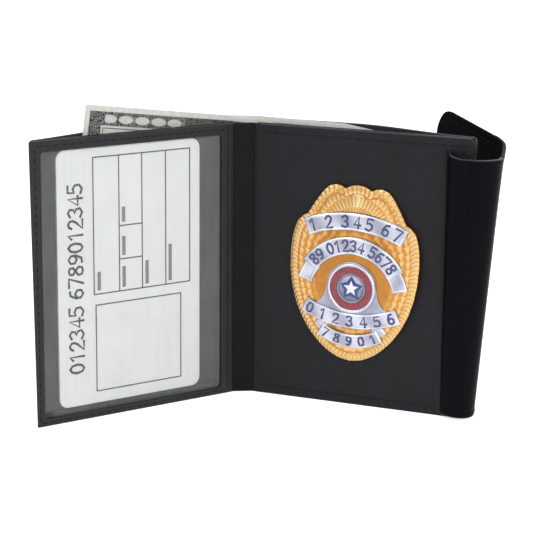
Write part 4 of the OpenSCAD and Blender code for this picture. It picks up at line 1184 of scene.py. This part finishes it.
for made, node_name, slot in (
        (turned_piece("seal_rim_beaded", [
            (0.2, 0, 0), (8.5, 0, 0), (8.5, 1.25, 0), (8.42, 1.42, 0), (8.25, 1.5, 0), (8.1, 1.5, 1),
            (7.8, 1.5, 1), (7.62, 1.46, 0), (7.5, 1.35, 0), (7.5, 0.6, 0), (0.2, 0.6, 0)],
            silver, 240, 60, 0.16, 0.7, False), "seal_rim", "silvered_metal"),
        (turned_piece("seal_ring_enamel", [
            (5.1, 0.55, 0), (7.5, 0.55, 0), (7.5, 1.36, 0), (7.4, 1.44, 0), (6.9, 1.5, 0), (5.8, 1.5, 0),
            (5.2, 1.44, 0), (5.1, 1.36, 0)], red_enamel), "seal_ring", "red_enamel"),
        (turned_piece("seal_band_rope", [
            (4.3, 0.55, 0), (5.1, 0.55, 0), (5.1, 1.4, 0), (5.0, 1.5, 0.4), (4.7, 1.56, 1), (4.45, 1.5, 0.4),
            (4.3, 1.36, 0)], silver, 240, 40, 0.12, 0.2), "seal_band", "silvered_metal"),
        (turned_piece("seal_field_enamel", [
            (0.2, 0.55, 0), (4.3, 0.55, 0), (4.3, 0.95, 0), (4.2, 1.02, 0), (3.6, 1.05, 0), (0.2, 1.05, 0)],
            cloud_enamel, tube=False), "seal_field", "blue_enamel")):
    settle(made, "badge_leaf", slot, node_name)

a = np.pi / 2 + np.arange(10) * np.pi / 5
for name, size, inner, low, used, slot, nodes in (
        ("seal_star_ground", 4.2, 0.62, 0.9, blue_enamel, "blue_enamel", []),
        ("seal_star_enamel", 2.7, 0.44, 1.1, white_enamel, "white_enamel", ["seal_star"])):
    r = size * np.where(np.arange(10) % 2 == 0, 1, inner)
    rings = [on_seal(r * k, low + h, a) for k, h in ((1, 0.0), (1, 0.2), (0.92, 0.27), (0.02, 0.36))]
    settle(skin(name, rings, [used], sharp=20), "badge_leaf", slot, *nodes)
a = np.linspace(0, 2 * np.pi, 31)[:-1]
settle(capsules("seal_ring_marks", *(on_seal(r, 1.48 + 0 * a, a) for r in (5.8, 6.9)), 0.17, dark_red_enamel),
       "badge_leaf", "red_enamel")

# Finishes of the CAD nodes that stay

for used, names in ((board, ["badge_stiffener"]), (pin_steel, ["pin_block", "pin_stem", "pin_catch"]),
                    (pocket_leather, ["pocket_foot_badge", "pocket_foot_spine", "card_slot_fold_side"]),
                    (pocket_cloth, ["spine_lining"]), (card_stock, ["id_card"])):
    for name in names:
        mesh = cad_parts[name].data
        mesh.materials.clear()
        mesh.materials.append(used)

# Floor, light and camera


def seen_directly(add):
    """1 for camera, gloss and transmission rays, 0 for the rest."""
    camera_ray, *others = add("LightPath", out=("Is Camera Ray", "Is Glossy Ray", "Is Transmission Ray"))
    return add("Math MAXIMUM", camera_ray, add("Math MAXIMUM", *others))


def studio_paper(add):
    """Matt white paper. Camera, gloss and transmission rays see it lifted to white; its shadow stays."""
    tooth = add("TexNoise", in_mm(add), Scale=1 / 2.0)
    matt = add("BsdfDiffuse", add("ValToRGB", tooth, stops=[(0.3, "#f4f4f4"), (0.7, "#f8f8f8")]))
    glow = add("Emission", (1, 1, 1, 1), add("Math MULTIPLY", seen_directly(add), 0.6))
    return add("AddShader", matt, glow)


floor_mesh = bpy.data.meshes.new("floor")
floor_mesh.from_pydata([(-6, -6, 0), (6, -6, 0), (6, 6, 0), (-6, 6, 0)], [], [(0, 1, 2, 3)])
# Matt white paper: a pale ground without gloss that takes a soft shadow
floor_mesh.materials.append(material("white_studio_paper", studio_paper))
floor = bpy.data.objects.new("floor", floor_mesh)
bpy.context.scene.collection.objects.link(floor)

# The world is white to direct rays and lights the object at a plain level
AMBIENT = 0.42
world = bpy.data.worlds.new("studio")
bpy.context.scene.world = world
world.use_nodes = True
world.node_tree.nodes.clear()
add = functools.partial(node, world.node_tree)
strength = add("Math MULTIPLY_ADD", seen_directly(add), 1 - AMBIENT, AMBIENT)
add("OutputWorld", add("Background", (1, 1, 1, 1), strength), out=())

for name, position, size, watts in (("key_softbox", (-0.55, -0.75, 0.95), 0.7, 4.8),
                                    ("fill_softbox", (0.9, -0.7, 0.6), 0.8, 7.6),
                                    ("top_softbox", (0.05, 0.25, 1.2), 0.8, 5.0)):
    lamp = bpy.data.lights.new(name, "AREA")
    lamp.energy, lamp.size = watts, size
    made = bpy.data.objects.new(name, lamp)
    made.location = position
    made.rotation_euler = (Vector((0, 0, 0.05)) - Vector(position)).to_track_quat("-Z", "Y").to_euler()
    bpy.context.scene.collection.objects.link(made)

# The camera's axes and place were solved from the card's corners and the leaves' edges in the photograph
RIGHT, UP = (0.9211239, 0.38917592, 0.00853564), (-0.09524106, 0.20405272, 0.97431598)
BACK, EYE = (0.3774386, -0.89827868, 0.22502336), (0.2034744, -0.5647459, 0.1863901)
camera = bpy.data.objects.new("photo_camera", bpy.data.cameras.new("photo_camera"))
camera.data.sensor_width, camera.data.sensor_height = 36.0, 36.0
camera.data.lens = 1836.535 * 36.0 / 533.0
camera.data.clip_start, camera.data.clip_end = 0.02, 50.0
bpy.context.scene.collection.objects.link(camera)
camera.matrix_world = Matrix([*zip(RIGHT, UP, BACK, EYE), (0, 0, 0, 1)])
bpy.context.scene.camera = camera
bpy.context.scene.view_settings.view_transform = "Standard"
